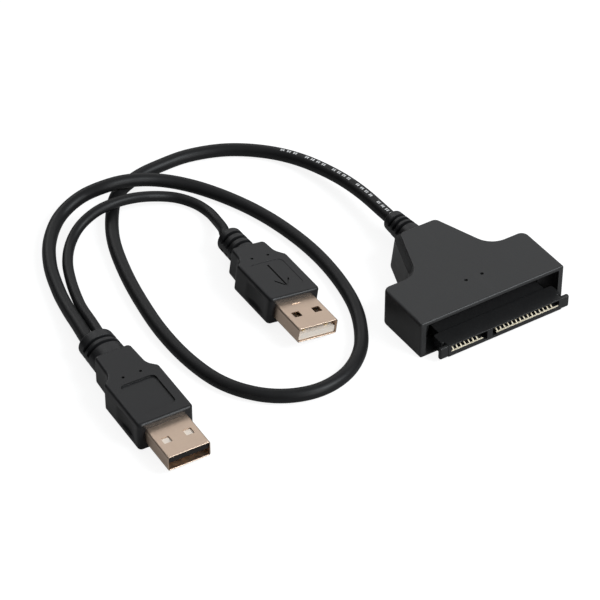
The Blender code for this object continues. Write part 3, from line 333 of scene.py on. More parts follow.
def rounded_block(name, corners, traits, levels, prefix=None):
    """Upright block: each level offsets the outline along its normals and gives its height.

    The levels function takes the outline's traits, and returns the offsets and the heights as
    arrays of (levels, points).
    """
    path, normals, values = rounded_path(corners, traits)
    offsets, heights = levels(values)
    plan = path[None] + normals[None] * offsets[..., None]
    points = np.concatenate((plan, heights[..., None]), axis=2)
    return grid_mesh(name, placed(points, prefix))


def edge_levels(low, high, edge, side_steps=2):
    """Levels of a plain block whose top and bottom rims are quarter rounds of radius edge."""
    angle = np.linspace(0.0, math.pi / 2, 6)
    side = np.linspace(0.0, 1.0, side_steps + 2)[1:-1]
    offset = np.concatenate((-edge * (1.0 - np.sin(angle)), 0.0 * side, -edge * (1.0 - np.cos(angle))))
    height = np.concatenate(
        (
            low + edge * (1.0 - np.cos(angle)),
            low + edge + (high - low - 2.0 * edge) * side,
            high - edge * (1.0 - np.sin(angle)),
        )
    )
    return offset, height


def plain_block(name, corners, low, high, edge, prefix=None):
    """Closed block of an outline with every rim rounded by the same radius."""
    offset, height = edge_levels(low, high, edge)

    def levels(values):
        """The same offset and height all round."""
        flat = np.ones(len(values))
        return offset[:, None] * flat, height[:, None] * flat

    return rounded_block(name, corners, np.zeros((len(corners), 2, 1)), levels, prefix)


def rectangle(left, right, front, back, corner):
    """Corners of a rectangle in the plan, anticlockwise, all with one radius."""
    return ((left, front, corner), (right, front, corner), (right, back, corner), (left, back, corner))


def drum(name, centre, radius, low, high, prefix=None):
    """Closed upright cylinder: a circle repeated at two heights."""
    angle = whole_turn(24)
    x, y = centre[0] + radius * np.cos(angle), centre[1] + radius * np.sin(angle)
    points = np.stack([np.stack((x, y, np.full(len(x), height)), axis=1) for height in (low, high)])
    return grid_mesh(name, placed(points, prefix))


class Nodes:
    """A node tree, with one method for every kind of node."""

    def __init__(self, tree):
        """Keep the tree."""
        self.tree = tree

    def node(self, kind, settings=None, inputs=None, output=0):
        """Add a node: its settings come first, then its sockets' values or links."""
        made = self.tree.nodes.new(kind)
        for name, value in (settings or {}).items():
            setattr(made, name, value)
        for name, value in (inputs or {}).items():
            if isinstance(value, Socket):
                self.tree.links.new(value.link, made.inputs[name])
            else:
                made.inputs[name].default_value = value
        return Socket(self, made.outputs[output])


class Finish(Nodes):
    """Node tree of one finish."""

    def __init__(self, name, colour, roughness, metallic=0.0, **constants):
        """Start a material whose unvarying sockets are set on its shader."""
        self.material = bpy.data.materials.new(name)
        self.material.use_nodes = True
        super().__init__(self.material.node_tree)
        self.shader = self.tree.nodes["Principled BSDF"]
        self.shader.inputs["Base Color"].default_value = (*colour, 1.0)
        self.shader.inputs["Roughness"].default_value = roughness
        self.shader.inputs["Metallic"].default_value = metallic
        for socket, value in constants.items():
            self.shader.inputs[socket.replace("_", " ")].default_value = value

    def place(self, scale=(1.0, 1.0, 1.0), turn=(0.0, 0.0, 0.0)):
        """Object coordinates, stretched by scale and turned."""
        where = self.node("ShaderNodeTexCoord", output="Object")
        return self.node("ShaderNodeMapping", {}, {"Vector": where, "Scale": scale, "Rotation": turn})

    def noise(self, scale, detail=3.0, stretch=(1.0, 1.0, 1.0), turn=(0.0, 0.0, 0.0)):
        """Noise from 0 to 1 with so many grains a metre."""
        inputs = {"Vector": self.place(stretch, turn), "Scale": scale, "Detail": detail}
        return self.node("ShaderNodeTexNoise", {}, inputs)

    def blend(self, share, first, second):
        """Colour from first to second by a share; either may be a link."""
        first, second = (end if isinstance(end, Socket) else (*end, 1.0) for end in (first, second))
        inputs = {0: share, 6: first, 7: second}
        return self.node("ShaderNodeMix", {"data_type": "RGBA"}, inputs, output=2)

    def shine(self, **links):
        """Link what varies into the shader."""
        for name, value in links.items():
            self.tree.links.new(value.link, self.shader.inputs[name.replace("_", " ")])

    def vary(self, colour, roughness, height, distance, strength=0.5, edge=None):
        """Link a colour, a roughness held from 0 to 1 and a bump, over soft edges if they are given."""
        inputs = {"Height": height, "Distance": distance, "Strength": strength}
        if edge is not None:
            inputs["Normal"] = self.node("ShaderNodeBevel", {"samples": 6}, {"Radius": edge})
        bump = self.node("ShaderNodeBump", {}, inputs)
        self.shine(Base_Color=colour, Roughness=roughness.clamped(), Normal=bump)
        return self.material


class Socket:
    """An output socket whose arithmetic adds Math nodes."""

    def __init__(self, nodes, link):
        """Keep the tree that the socket belongs to."""
        self.nodes = nodes
        self.link = link

    def math(self, operation, first, second=0.0, clamp=False):
        """One Math node."""
        settings = {"operation": operation, "use_clamp": clamp}
        return self.nodes.node("ShaderNodeMath", settings, {0: first, 1: second})

    def __add__(self, other):
        return self.math("ADD", self, other)

    def __radd__(self, other):
        return self.math("ADD", other, self)

    def __sub__(self, other):
        return self.math("SUBTRACT", self, other)

    def __mul__(self, other):
        return self.math("MULTIPLY", self, other)

    def __gt__(self, other):
        return self.math("GREATER_THAN", self, other)

    def __lt__(self, other):
        return self.math("LESS_THAN", self, other)

    def __abs__(self):
        return self.math("ABSOLUTE", self)

    def modulo(self, other):
        """What is left after whole multiples are taken away."""
        return self.math("FLOORED_MODULO", self, other)

    def clamped(self):
        """The value held from 0 to 1."""
        return self.math("ADD", self, 0.0, clamp=True)


def shade(colour, factor):
    """A colour made darker or lighter."""
    return tuple(min(1.0, channel * factor) for channel in colour)


def black_plastic(name, colour, roughness, grain=2600.0, depth=0.02 * MM, level=0.3):
    """Spark-textured black moulding: fine even grain, cloudy sheen and faint rubbed streaks."""
    finish = Finish(name, colour, roughness, Specular_IOR_Level=level)
    fine = finish.noise(grain, 2.0)
    cloud = finish.noise(140.0, 3.0)
    rubbed = finish.noise(500.0, 4.0, stretch=(1.0, 0.12, 1.0), turn=(0.0, 0.0, 0.6))
    tone = (cloud * 0.5 + fine * 0.5).clamped()
    tint = finish.blend(tone, shade(colour, 0.85), shade(colour, 1.15))
    rough = roughness - 0.08 + cloud * 0.1 + (rubbed > 0.64) * -0.05 + fine * 0.06
    return finish.vary(tint, rough, fine, depth)


def cord_jacket(name, colour, roughness):
    """Soft cord jacket: drawn lines along its length, a slow ripple and a matt bloom."""
    finish = Finish(name, colour, roughness, Specular_IOR_Level=0.24)
    flat = finish.node("ShaderNodeUVMap", {"uv_map": "along"})
    lines = finish.node("ShaderNodeMapping", {}, {"Vector": flat, "Scale": (26.0, 12.0, 1.0)})
    drawn = finish.node("ShaderNodeTexNoise", {}, {"Vector": lines, "Scale": 1.0, "Detail": 3.0})
    bloom = finish.noise(300.0, 3.0)
    tint = finish.blend(bloom, shade(colour, 0.85), shade(colour, 1.2))
    finish.vary(tint, roughness - 0.06 + drawn * 0.08 + bloom * 0.06, drawn, 0.03 * MM)
    return finish


def printed_cord(name, colour, roughness, ink, start, end):
    """Cord jacket with a row of plain printed dashes along one side for a stretch of its length."""
    finish = cord_jacket(name, colour, roughness)
    where = finish.node("ShaderNodeUVMap", {"uv_map": "along"})
    around, along = (finish.node("ShaderNodeSeparateXYZ", {}, {0: where}, axis) for axis in range(2))
    band = abs(around - PRINT_MIDDLE) < PRINT_HALF_WIDTH
    stretch = (along > start) * (along < end)
    dash = (along.modulo(DASH_STEP) < DASH_LENGTH) * (along.modulo(DASH_GROUP_STEP) < DASH_GROUP_LENGTH)
    stroke = along.modulo(STROKE_STEP) > STROKE_GAP
    jacket = Socket(finish, finish.shader.inputs["Base Color"].links[0].from_socket)
    finish.shine(Base_Color=finish.blend(band * stretch * dash * stroke, jacket, ink))
    return finish.material


def plated_metal(name, colour, roughness, stretch, turn=(0.0, 0.0, 0.0)):
    """Plated sheet metal: rolling lines along the sheet and a cloudy tarnish."""
    finish = Finish(name, colour, roughness, 1.0)
    rolled = finish.noise(900.0, 4.0, stretch=stretch, turn=turn)
    tarnish = finish.noise(220.0, 3.0)
    tint = finish.blend(tarnish, shade(colour, 0.9), shade(colour, 1.06))
    rough = roughness - 0.06 + rolled * 0.08 + tarnish * 0.1
    return finish.vary(tint, rough, rolled, 0.004 * MM, 0.4)


def glossy_resin(name, colour, roughness, speck, speck_scale, edge=None):
    """Filled resin: a smooth moulded face with small specks of filler, and edges that look rounded."""
    finish = Finish(name, colour, roughness, Specular_IOR_Level=0.4)
    filler = finish.noise(speck_scale, 2.0)
    swirl = finish.noise(260.0, 3.0)
    tint = finish.blend((filler > 0.63) * 0.6 + swirl * 0.2, colour, speck)
    return finish.vary(tint, roughness - 0.05 + swirl * 0.12, swirl, 0.01 * MM, edge=edge)


def shade_painted_resin(name, colour, painted_shade, end):
    """Pale resin with painted shade: dark as far as a place along Y, where it ends in the mouth of a
    shell, standing in for the shade there.
    """
    finish = Finish(name, colour, 0.45, Specular_IOR_Level=0.3)
    swirl = finish.noise(260.0, 3.0)
    along = finish.node("ShaderNodeSeparateXYZ", {}, {0: finish.place()}, output=1)
    return finish.vary(finish.blend(along < end, colour, painted_shade), 0.4 + swirl * 0.12, swirl, 0.01 * MM)


def board_laminate(name, colour, track):
    """Solder-masked board: raised tracks under a glossy green mask, and weave in the laminate."""
    finish = Finish(name, colour, 0.35, Specular_IOR_Level=0.5)
    tracks = finish.node(
        "ShaderNodeTexWave",
        {"wave_type": "BANDS", "bands_direction": "X"},
        {"Vector": finish.place(), "Scale": 250.0, "Distortion": 1.5},
        output=1,
    )
    weave = finish.noise(2400.0, 2.0, stretch=(1.0, 0.2, 1.0))
    line = (tracks > 0.72) * 1.0
    tint = finish.blend(line, colour, track)
    return finish.vary(tint, 0.3 + weave * 0.12, line * 0.8 + weave * 0.2, 0.02 * MM)


def setting(name, description, default, kind=bpy.props.FloatProperty, **limits):
    """A setting that the user may change, from 0 up."""
    return kind(name=name, description=description, default=default, min=0.0, **limits)


COLOUR = {"kind": bpy.props.FloatVectorProperty, "size": 3, "max": 1.0, "subtype": "COLOR"}
LENGTH = {"precision": 5, "unit": "LENGTH"}
SHARE = {"max": 1.0, "subtype": "FACTOR"}


class AdapterColours(bpy.types.PropertyGroup):
    """Colours of the finishes."""

    head: setting("Head", "Moulded head", (0.035, 0.035, 0.0355), **COLOUR)
    grip: setting("Grips", "Moulded plug grips", (0.015, 0.015, 0.016), **COLOUR)
    cord: setting("Cords", "Cord jackets", (0.011, 0.011, 0.0115), **COLOUR)
    print_ink: setting("Print", "Dashes printed on the main cord", (0.72, 0.72, 0.72), **COLOUR)
    receptacle: setting("Receptacle", "Resin of the drive receptacle", (0.016, 0.016, 0.0165), **COLOUR)
    contact: setting("Contacts", "Gold on the contacts", (0.86, 0.68, 0.38), **COLOUR)
    shell: setting("Plug shells", "Plated steel of the plug shells", (0.70, 0.545, 0.43), **COLOUR)
    insulator: setting("Insulators", "Resin of the plug tongues", (0.90, 0.80, 0.70), **COLOUR)
    # painted highlight: colour of the pale strips under the slots and of the contact tips, standing in
    # for their lit edges
    lip: setting("Slot lips", "Pale lip under each row of contacts", (0.93, 0.85, 0.66), **COLOUR)


class AdapterSizes(bpy.types.PropertyGroup):
    """Sizes of the head, the plugs and the cords."""

    main_cord: setting("Main cord", "Diameter of the main cord", 3.8 * MM, **LENGTH)
    thin_cord: setting("Thin cord", "Diameter of the thin cord", 3.0 * MM, **LENGTH)
    block_edge: setting("Block rim", "Radius of the head's upper and lower rims", 0.8 * MM, **LENGTH)
    hood_edge: setting("Hood rim", "Radius of the hood's front rim", 0.55 * MM, **LENGTH)
    hood_wall: setting("Hood wall", "Thickness of the hood's top", 1.0 * MM, **LENGTH)
    hood_side: setting("Hood side", "Thickness of the hood's side walls", 1.7 * MM, **LENGTH)
    hood_depth: setting("Hood depth", "How far the hood reaches forward", 5.7 * MM, **LENGTH)
    foot_flare: setting("Neck foot", "How far the neck stands out at its foot", 2.2 * MM, **LENGTH)
    shoulder_flare: setting("Neck shoulder", "How far it stands out under its band", 1.3 * MM, **LENGTH)
    neck_band: setting("Neck band", "Height of the band along the neck's top", 1.9 * MM, **LENGTH)
    slot_width: setting("Relief slot", "Width of the slots in the strain reliefs", 1.05 * MM, **LENGTH)
    slot_depth: setting("Relief depth", "Depth of the slots in the strain reliefs", 1.25 * MM, **LENGTH)
    grip_edge: setting("Grip rim", "Radius of the rims of the plug grips", 0.8 * MM, **LENGTH)
    scoop_depth: setting("Scoop", "Depth of the finger scoops in the grips", 0.6 * MM, **LENGTH)


class AdapterStage(bpy.types.PropertyGroup):
    """Camera, lamps and floor."""

    lens: setting("Lens", "Focal length", 161.69, unit="CAMERA")
    key: setting("Key lamp", "Power of the broad lamp", 2.6, unit="POWER")
    back: setting("Back lamp", "Power of the lamp behind", 2.2, unit="POWER")
    rim: setting("Rim lamp", "Power of the front lamp", 12.0, unit="POWER")
    fill: setting("Fill lamp", "Power of the low front lamp", 4.5, unit="POWER")
    sky: setting("Sky", "Strength of the sky overhead", 0.5, **SHARE)
    floor_tone: setting("Floor", "Share that the floor reflects", 0.26, **SHARE)
    floor_glow: setting("Floor glow", "What the view adds to the floor", 0.87, **SHARE)


def grip_plastic():
    """Softer black of the grips and the strain reliefs, made once and then shared."""
    made = bpy.data.materials.get("grip_plastic")
    if made is None:
        colour = tuple(bpy.context.scene.adapter_colours.grip)
        made = black_plastic("grip_plastic", colour, 0.36, grain=3200.0, level=0.32)
    return made


def smooth_route(route, start, start_way, end, end_way, step=1.2 * MM, sink=0.6 * MM):
    """Evenly spaced points on the smooth curve through a route, straight where it leaves each end.

    Between two points of the route the curve is the cubic whose slope at each is half the way
    from the point before to the point after.
    """
    points = np.vstack((start + start_way * CORD_LEAD, route, end + end_way * CORD_LEAD))
    padded = np.vstack((2 * points[0] - points[1], points, 2 * points[-1] - points[-2]))
    before, first, last, after = (padded[shift : len(padded) - 3 + shift, None] for shift in range(4))
    t = (np.arange(20) / 20.0)[None, :, None]
    fine = 0.5 * (
        2 * first
        + (last - before) * t
        + (2 * before - 5 * first + 4 * last - after) * t**2
        + (3 * first - before - 3 * last + after) * t**3
    )
    line = np.vstack((start - start_way * sink, fine.reshape(-1, 3), points[-1], end - end_way * sink))
    place = lengths_along(line)
    wanted = np.linspace(0.0, place[-1], int(place[-1] / step) + 1)
    return np.stack([np.interp(wanted, place, line[:, axis]) for axis in range(3)], axis=1)


def tube(name, path, radius, sides=28):
    """Round tube: a circle square to the path at each point, with its seam kept underneath.

    Its map "along" runs round the tube from 0 to 1 and along it in metres.
    """
    way = unit(np.gradient(path, axis=0))
    side = unit(np.cross(way, (0.0, 0.0, 1.0)))
    rise = np.cross(side, way)
    angle = whole_turn(sides)[None, :, None] - math.pi / 2
    rings = path[:, None] + radius * (np.cos(angle) * side[:, None] + np.sin(angle) * rise[:, None])
    rows = len(path)
    faces = quads(rows, sides, False, True)
    caps = [list(range(sides))[::-1], [(rows - 1) * sides + column for column in range(sides)]]
    mesh = mesh_of(name, rings, faces.tolist() + caps)
    lengths = lengths_along(path)
    round_share = np.tile(np.array((0, 1, 1, 0)), (len(faces), 1)) + (faces[:, :1] % sides)
    side_map = np.stack((round_share / sides, lengths[faces // sides]), axis=2).reshape(-1, 2)
    cap_map = np.zeros((2 * sides, 2))
    layer = mesh.uv_layers.new(name="along")
    layer.data.foreach_set("uv", np.vstack((side_map, cap_map)).ravel())
    smooth(mesh, 60.0)
    return mesh


def grip_back(prefix):
    """How far the back of a plug's grip lies from its tip."""
    _, length, _, neck_length = PLUG_GRIPS[prefix]
    return SHELL_REACH + length + neck_length


def cord_exit(prefix, offset=0.0):
    """Where a cord leaves a plug's relief, and the way it goes there."""
    turn, _ = place_matrix(prefix)
    back = grip_back(prefix) + PLUG_RELIEFS[prefix][0][0]
    return placed(np.array((offset, back, 0.0)), prefix), turn @ np.array((0.0, 1.0, 0.0))


def cord_paths():
    """Where each cord begins, and the points along it."""
    head_exit = np.array((0.0, RELIEF_END_Y, CORD_HEIGHT))
    main_end, thin_start = (cord_exit("data_plug", offset) for offset in CORD_PAIR_OFFSETS)
    main_path = smooth_route(MAIN_ROUTE, head_exit, np.array((0.0, 1.0, 0.0)), *main_end)
    thin_path = smooth_route(THIN_ROUTE, *thin_start, *cord_exit("power_plug"))
    return {"main_cord": (head_exit, main_path), "thin_cord": (thin_start[0], thin_path)}


class ADAPTER_OT_cords(bpy.types.Operator):
    """Lay the two cords along their routes"""

    bl_idname = "adapter.cords"
    bl_label = "Cords"

    def execute(self, context):
        colours = context.scene.adapter_colours
        jacket, ink = tuple(colours.cord), tuple(colours.print_ink)
        finishes = {
            "main_cord": printed_cord("printed_jacket", jacket, 0.42, ink, PRINT_START, PRINT_END),
            "thin_cord": cord_jacket("plain_jacket", jacket, 0.42).material,
        }
        for name, (_, path) in cord_paths().items():
            radius = getattr(context.scene.adapter_sizes, name) / 2
            show(tube(f"{name}_jacket", path, radius), finishes[name], (name,), even=False)
        return {"FINISHED"}


def ribbed_relief(name, start, relief, height, prefix=None):
    """Strain relief: a tapering round body whose radius drops into part-round slots.

    Radius = taper - slot depth * (nearness to a slot, from 0 to 1) * (1 away from the two side
    webs), and the ends close in quarter rounds.
    """
    sizes = bpy.context.scene.adapter_sizes
    (length, root, end), (slots, first_slot, pitch), flatness = relief
    web, lip, rounding, sink = 0.9 * MM, 0.12 * MM, 0.7 * MM, 0.8 * MM
    rings, sides = 260, 72
    along, angle = np.linspace(-sink, length, rings), whole_turn(sides)
    taper = root / 2 + (end - root) / 2 * along / length
    centres = first_slot + pitch * np.arange(slots)
    gap = np.abs(along[:, None] - centres[None]).min(axis=1)
    inside = np.clip((sizes.slot_width / 2 + lip / 2 - gap) / lip, 0.0, 1.0)
    inside = inside * inside * (3.0 - 2.0 * inside)
    away = np.clip((np.abs(np.sin(angle)) * root / 2 - web) / (0.25 * MM), 0.0, 1.0)
    left = np.clip((length - along) / rounding, 0.0, 1.0)
    end_drop = rounding * (1.0 - np.sqrt(1.0 - (1.0 - left) ** 2))
    radius = taper[:, None] - sizes.slot_depth * inside[:, None] * away[None] - end_drop[:, None]
    x, z = radius * np.cos(angle), height + flatness * radius * np.sin(angle)
    y = np.broadcast_to((start + along)[:, None], radius.shape)
    points = np.stack((x, y, z), axis=2)
    return grid_mesh(name, placed(points, prefix), crease=50.0)


class ADAPTER_OT_head(bpy.types.Operator):
    """Mould the head: hooded block, neck with flared foot and ribbed strain relief"""

    bl_idname = "adapter.head"
    bl_label = "Head"

    def execute(self, context):
        sizes = context.scene.adapter_sizes
        half, top = HEAD_HIGH[0], HEAD_HIGH[2]
        rim, front_rim = sizes.block_edge, sizes.hood_edge
        outline = both_sides(
            (
                ((half, HOOD_FRONT_Y, HOOD_FRONT_CORNER), (front_rim, 0.0), (rim, 0.0)),
                ((half, BLOCK_BACK_Y, BLOCK_CORNER), (rim, 0.0), (rim, 0.0)),
                ((NECK_FRONT_WIDTH / 2, BLOCK_BACK_Y, NECK_FILLET), (rim, 0.0), (rim, 1.0)),
                ((NECK_BACK_WIDTH / 2, NECK_BACK_Y, NECK_CORNER), (rim, 1.0), (rim, 1.0)),
            )
        )
        band_foot = top - sizes.neck_band

        def levels(values):
            """Rounded foot, leaning side, band sloping in to the top, and rounded rim."""
            edge, flare = values[:, 0][None], values[:, 1][None]
            quarter = np.linspace(0.0, math.pi / 2, 7)[:, None]
            lean = np.linspace(0.0, 1.0, 8)[:, None]
            shoulder = sizes.shoulder_flare
            foot_offset = -edge * (1.0 - np.sin(quarter)) + flare * sizes.foot_flare
            foot_height = edge * (1.0 - np.cos(quarter))
            side_height = edge + (band_foot - edge) * lean
            side_offset = flare * (sizes.foot_flare + (shoulder - sizes.foot_flare) * lean)
            band_height = band_foot + (top - edge - band_foot) * lean[1:]
            band_offset = flare * shoulder * (1.0 - lean[1:]) + 0.0 * edge
            rim_offset = -edge * (1.0 - np.cos(quarter)) + 0.0 * flare
            rim_height = top - edge * (1.0 - np.sin(quarter))
            offsets = (foot_offset, side_offset[1:], band_offset, rim_offset[1:])
            heights = (foot_height, side_height[1:], band_height, rim_height[1:])
            return np.concatenate(offsets), np.concatenate(heights)

        block = rounded_block("head_moulding", *outline, levels)
        lead = 6.0 * MM  # of the cutter in front of the hood
        inner = half - sizes.hood_side
        depth = sizes.hood_depth
        plan = rectangle(-inner, inner, HOOD_FRONT_Y - lead, HOOD_FRONT_Y + depth, HOOD_BACK_CORNER)
        hood = plain_block("hood_hollow", plan, HOOD_FLOOR, top - sizes.hood_wall, 0.3 * MM)
        left, right = NOSE_LOW[0] + TAIL_INSET, NOSE_HIGH[0] - TAIL_INSET
        front = HOOD_FRONT_Y + 3.0 * MM  # inside the hollow
        plan = rectangle(left, right, front, NOSE_HIGH[1] + FIT, 0.2 * MM)
        tail = plain_block("receptacle_opening", plan, TAIL_LOW, TAIL_HIGH, 0.05 * MM)
        low, high = (np.array(corner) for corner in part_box("circuit_board"))
        front = low[1] - 0.5 * MM
        plan = rectangle(low[0] - FIT, high[0] + FIT, front, front + BOARD_POCKET_LENGTH, 0.2 * MM)
        pocket = plain_block("board_pocket", plan, low[2] - FIT, high[2] + COMPONENT_HEIGHT, 0.05 * MM)
        spread, place, radius = PIN_MARKS
        marks = [
            drum(f"pin_mark_{side}", (side * spread, HOOD_FRONT_Y + place), radius, top - MM, top + MM)
            for side in (-1, 1)
        ]
        colour = tuple(context.scene.adapter_colours.head)
        plastic = black_plastic("head_plastic", colour, 0.36, level=0.26)
        show(carve(block, (hood, tail, pocket, *marks)), plastic, ("sata_housing",))
        relief = ribbed_relief("head_relief", NECK_BACK_Y, HEAD_RELIEF, CORD_HEIGHT)
        show(relief, grip_plastic(), even=False)
        return {"FINISHED"}


def contact_tips():
    """Tips of the 22 contacts at the slots' mouths: strips that rise from the lip to the contacts.

    Each is the profile z(y) below, given a width along X and a thickness along Z.
    """
    names = [f"signal_contact_{way}" for way in range(1, 8)]
    names += [f"power_contact_{way:02d}" for way in range(1, 16)]
    middles = np.array([sum(corner[0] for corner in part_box(name)) / 2 for name in names])
    reach = np.array((0.25, 0.6, 1.2, 2.1)) * MM + NOSE_LOW[1]
    rise = np.array((2.9, 3.15, 3.45, 3.5)) * MM
    half, thick = 0.17 * MM, 0.1 * MM
    side = np.array((-half, half, half, -half))
    lift = np.array((0.0, 0.0, thick, thick))
    ring = np.stack(np.broadcast_arrays(side[None], reach[:, None], rise[:, None] + lift[None]), axis=2)
    points = ring[None] + middles[:, None, None, None] * np.array((1.0, 0.0, 0.0))
    rows, columns = ring.shape[:2]
    ends = [[3, 2, 1, 0], [12, 13, 14, 15]]
    faces = np.array(quads(rows, columns, False, True).tolist() + ends)
    every = faces[None] + rows * columns * np.arange(len(middles))[:, None, None]
    mesh = mesh_of("contact_tips", points, every.reshape(-1, 4).tolist())
    settle(mesh, CREASE)
    return mesh


class ADAPTER_OT_receptacle(bpy.types.Operator):
    """Finish the receptacle and its contacts, and fit pale strips under its slots as a painted highlight
    """

    bl_idname = "adapter.receptacle"
    bl_label = "Receptacle"

    def execute(self, context):
        colours = context.scene.adapter_colours
        black, speck = tuple(colours.receptacle), (0.03, 0.03, 0.03)
        dress("sata_receptacle", glossy_resin("receptacle_resin", black, 0.34, speck, 3000.0, 0.16 * MM))
        gold = plated_metal("contact_gold", tuple(colours.contact), 0.3, (1.0, 0.15, 1.0))
        for name in NODES:
            if "_contact_" in name:
                dress(name, gold)
        # painted highlight: pale strips along the slots' lower edges, and pale contact tips, in place of
        # lit edges
        pale = glossy_resin("slot_highlight_resin", tuple(colours.lip), 0.4, (0.5, 0.42, 0.26), 2600.0)
        front = NOSE_LOW[1] + 0.02 * MM
        for name, (left, right) in SLOT_HIGHLIGHT_STRIPS.items():
            plan = rectangle(left, right, front, front + HIGHLIGHT_STRIP_DEPTH, 0.05 * MM)
            lip = plain_block(f"{name}_slot_highlight_strip", plan, HIGHLIGHT_STRIP_LOW, HIGHLIGHT_STRIP_HIGH, 0.04 * MM)
            show(lip, pale)
        show(contact_tips(), pale, even=False)
        return {"FINISHED"}


class ADAPTER_OT_board(bpy.types.Operator):
    """Finish the circuit board and the components inside the head"""

    bl_idname = "adapter.board"
    bl_label = "Circuit Board"

    def execute(self, context):
        laminate = board_laminate("board_laminate", (0.015, 0.12, 0.05), (0.03, 0.22, 0.09))
        package = glossy_resin("chip_package", (0.03, 0.03, 0.035), 0.5, (0.07, 0.07, 0.08), 4000.0)
        can = plated_metal("crystal_can", (0.62, 0.62, 0.63), 0.32, (1.0, 0.2, 1.0))
        ceramic = glossy_resin("capacitor_ceramic", (0.5, 0.32, 0.12), 0.45, (0.6, 0.42, 0.2), 3600.0)
        finishes = {
            "circuit_board": laminate,
            "bridge_chip": package,
            "regulator": package,
            "crystal": can,
            "input_capacitor": ceramic,
            "output_capacitor": ceramic,
        }
        for name, finish in finishes.items():
            dress(name, finish)
        return {"FINISHED"}


def grip_mesh(prefix):
    """Moulded grip of a plug: wide body, scooped sides and narrow neck, with a panel on each face.

    Each long side is pressed in by a shallow arc: scoop depth * (1 - (way from its middle / reach)^2).
    """
    sizes = bpy.context.scene.adapter_sizes
    width, length, height, _ = PLUG_GRIPS[prefix]
    shoulder = SHELL_REACH + length
    neck_front, neck_back, curve, curve_radius = GRIP_NECK
    plain = ((0.0,), (0.0,))
    corners, traits = both_sides(
        (
            ((width / 2, SHELL_REACH, GRIP_CORNER), *plain),
            ((width / 2, shoulder, GRIP_CORNER), *plain),
            ((neck_front, shoulder + curve, curve_radius), *plain),
            ((neck_back, grip_back(prefix), GRIP_CORNER), *plain),
        )
    )
    path, normals, _ = rounded_path(corners, traits, run_steps=24)
    offset, level = edge_levels(-height / 2, height / 2, sizes.grip_edge, 14)
    reach = math.sqrt(2.0 * SCOOP_RADIUS * sizes.scoop_depth)
    across = np.clip(1.0 - ((path[:, 1] - (SHELL_REACH + SCOOP_MIDDLE)) / reach) ** 2, 0.0, 1.0)
    on_side = np.abs(path[:, 0]) > width / 2 - 0.01 * MM
    band = np.clip((SCOOP_HALF_HEIGHT - np.abs(level)) / (0.3 * MM), 0.0, 1.0)
    offsets = offset[:, None] - sizes.scoop_depth * (across * on_side)[None] * band[:, None]
    plan = path[None] + normals[None] * offsets[..., None]
    heights = np.broadcast_to(level[:, None, None], (*offsets.shape, 1))
    block = grid_mesh(f"{prefix}_moulding", placed(np.concatenate((plan, heights), axis=2), prefix))

    depth = PANEL_DEPTHS[prefix]
    front, back = SHELL_REACH + PANEL_FRONT, SHELL_REACH + PANEL_BACK
    panel = rectangle(-PANEL_HALF_WIDTH, PANEL_HALF_WIDTH, front, back, PANEL_CORNER)
    spread, place, radius, mark_depth = GRIP_MARKS
    cutters = []
    for face in (-1, 1):
        floor = face * (height / 2 - depth)
        low, high = sorted((floor, floor + face * MM))
        cutters.append(plain_block(f"{prefix}_panel_{face}", panel, low, high, 0.05 * MM, prefix))
        for side in (-1, 1):
            spot = (side * spread, SHELL_REACH + place)
            floor = face * (height / 2 - mark_depth)
            low, high = sorted((floor, floor + face * 2.0 * MM))
            cutters.append(drum(f"{prefix}_mark_{face}_{side}", spot, radius, low, high, prefix))
    if prefix == "power_plug":
        low, high = height / 2 - depth - ARROW_DEPTH, height / 2 + MM
        cutters.append(plain_block("arrow_mark", arrow_outline(), low, high, 0.02 * MM, prefix))
    return carve(block, cutters)


def arrow_outline():
    """Corners of a plain arrow that points at the plug's tip, anticlockwise."""
    tip, tail = SHELL_REACH + 3.9 * MM, SHELL_REACH + 14.4 * MM
    half_head, head, stroke, stem = 2.2 * MM, 3.0 * MM, 0.75 * MM, 0.24 * MM
    fork = tip + stroke + head * stem / half_head
    right = ((half_head, tip + head), (half_head, tip + head + stroke), (stem, fork), (stem, tail))
    left = [(-x, y) for x, y in reversed(right)]
    return [(x, y, 0.04 * MM) for x, y in ((0.0, tip), *right, *left)]


def shell_bar():
    """Small pressed bar on top of the power plug's shell, near its grip."""
    middle, half_length, half_width, height = -0.6 * MM, 1.3 * MM, 0.25 * MM, 0.14 * MM
    place = SHELL_REACH - 1.4 * MM
    left, right = middle - half_length, middle + half_length
    bar = rectangle(left, right, place - half_width, place + half_width, 0.12 * MM)
    low, high = SHELL_HALF_HEIGHT - 0.25 * MM, SHELL_HALF_HEIGHT + height
    return plain_block("shell_bar", bar, low, high, 0.08 * MM, "power_plug")


def shell_mesh(prefix):
    """Folded shell of a plug: a rounded rectangle drawn back, turned in at the mouth to its wall."""
    edges = (-SHELL_HALF_WIDTH, SHELL_HALF_WIDTH, -SHELL_HALF_HEIGHT, SHELL_HALF_HEIGHT)
    path, normals, _ = rounded_path(rectangle(*edges, SHELL_CORNER), np.zeros((4, 2, 1)))
    turn = np.linspace(0.0, math.pi, 9)
    back = SHELL_REACH + SHELL_IN_GRIP
    inset = np.concatenate(((0.0,), SHELL_WALL / 2 * (1.0 - np.cos(turn)), (SHELL_WALL,)))
    along = np.concatenate(((back,), SHELL_WALL / 2 * (1.0 - np.sin(turn)), (back,)))
    ring = path[None] - normals[None] * inset[:, None, None]
    depth = np.broadcast_to(along[:, None, None], (*ring.shape[:2], 1))
    points = placed(np.concatenate((ring[..., :1], depth, ring[..., 1:]), axis=2), prefix)
    windows = []
    for side in (-1, 1):
        left, right = (side * WINDOW_MIDDLE + way * WINDOW_HALF_WIDTH for way in (-1, 1))
        opening = rectangle(left, right, WINDOW_FRONT, WINDOW_BACK, 0.15 * MM)
        name = f"{prefix}_window_{side}"
        windows.append(plain_block(name, opening, -5.0 * MM, 5.0 * MM, 0.05 * MM, prefix))
    return carve(grid_mesh(f"{prefix}_folded_shell", points, close_rows=True), windows)


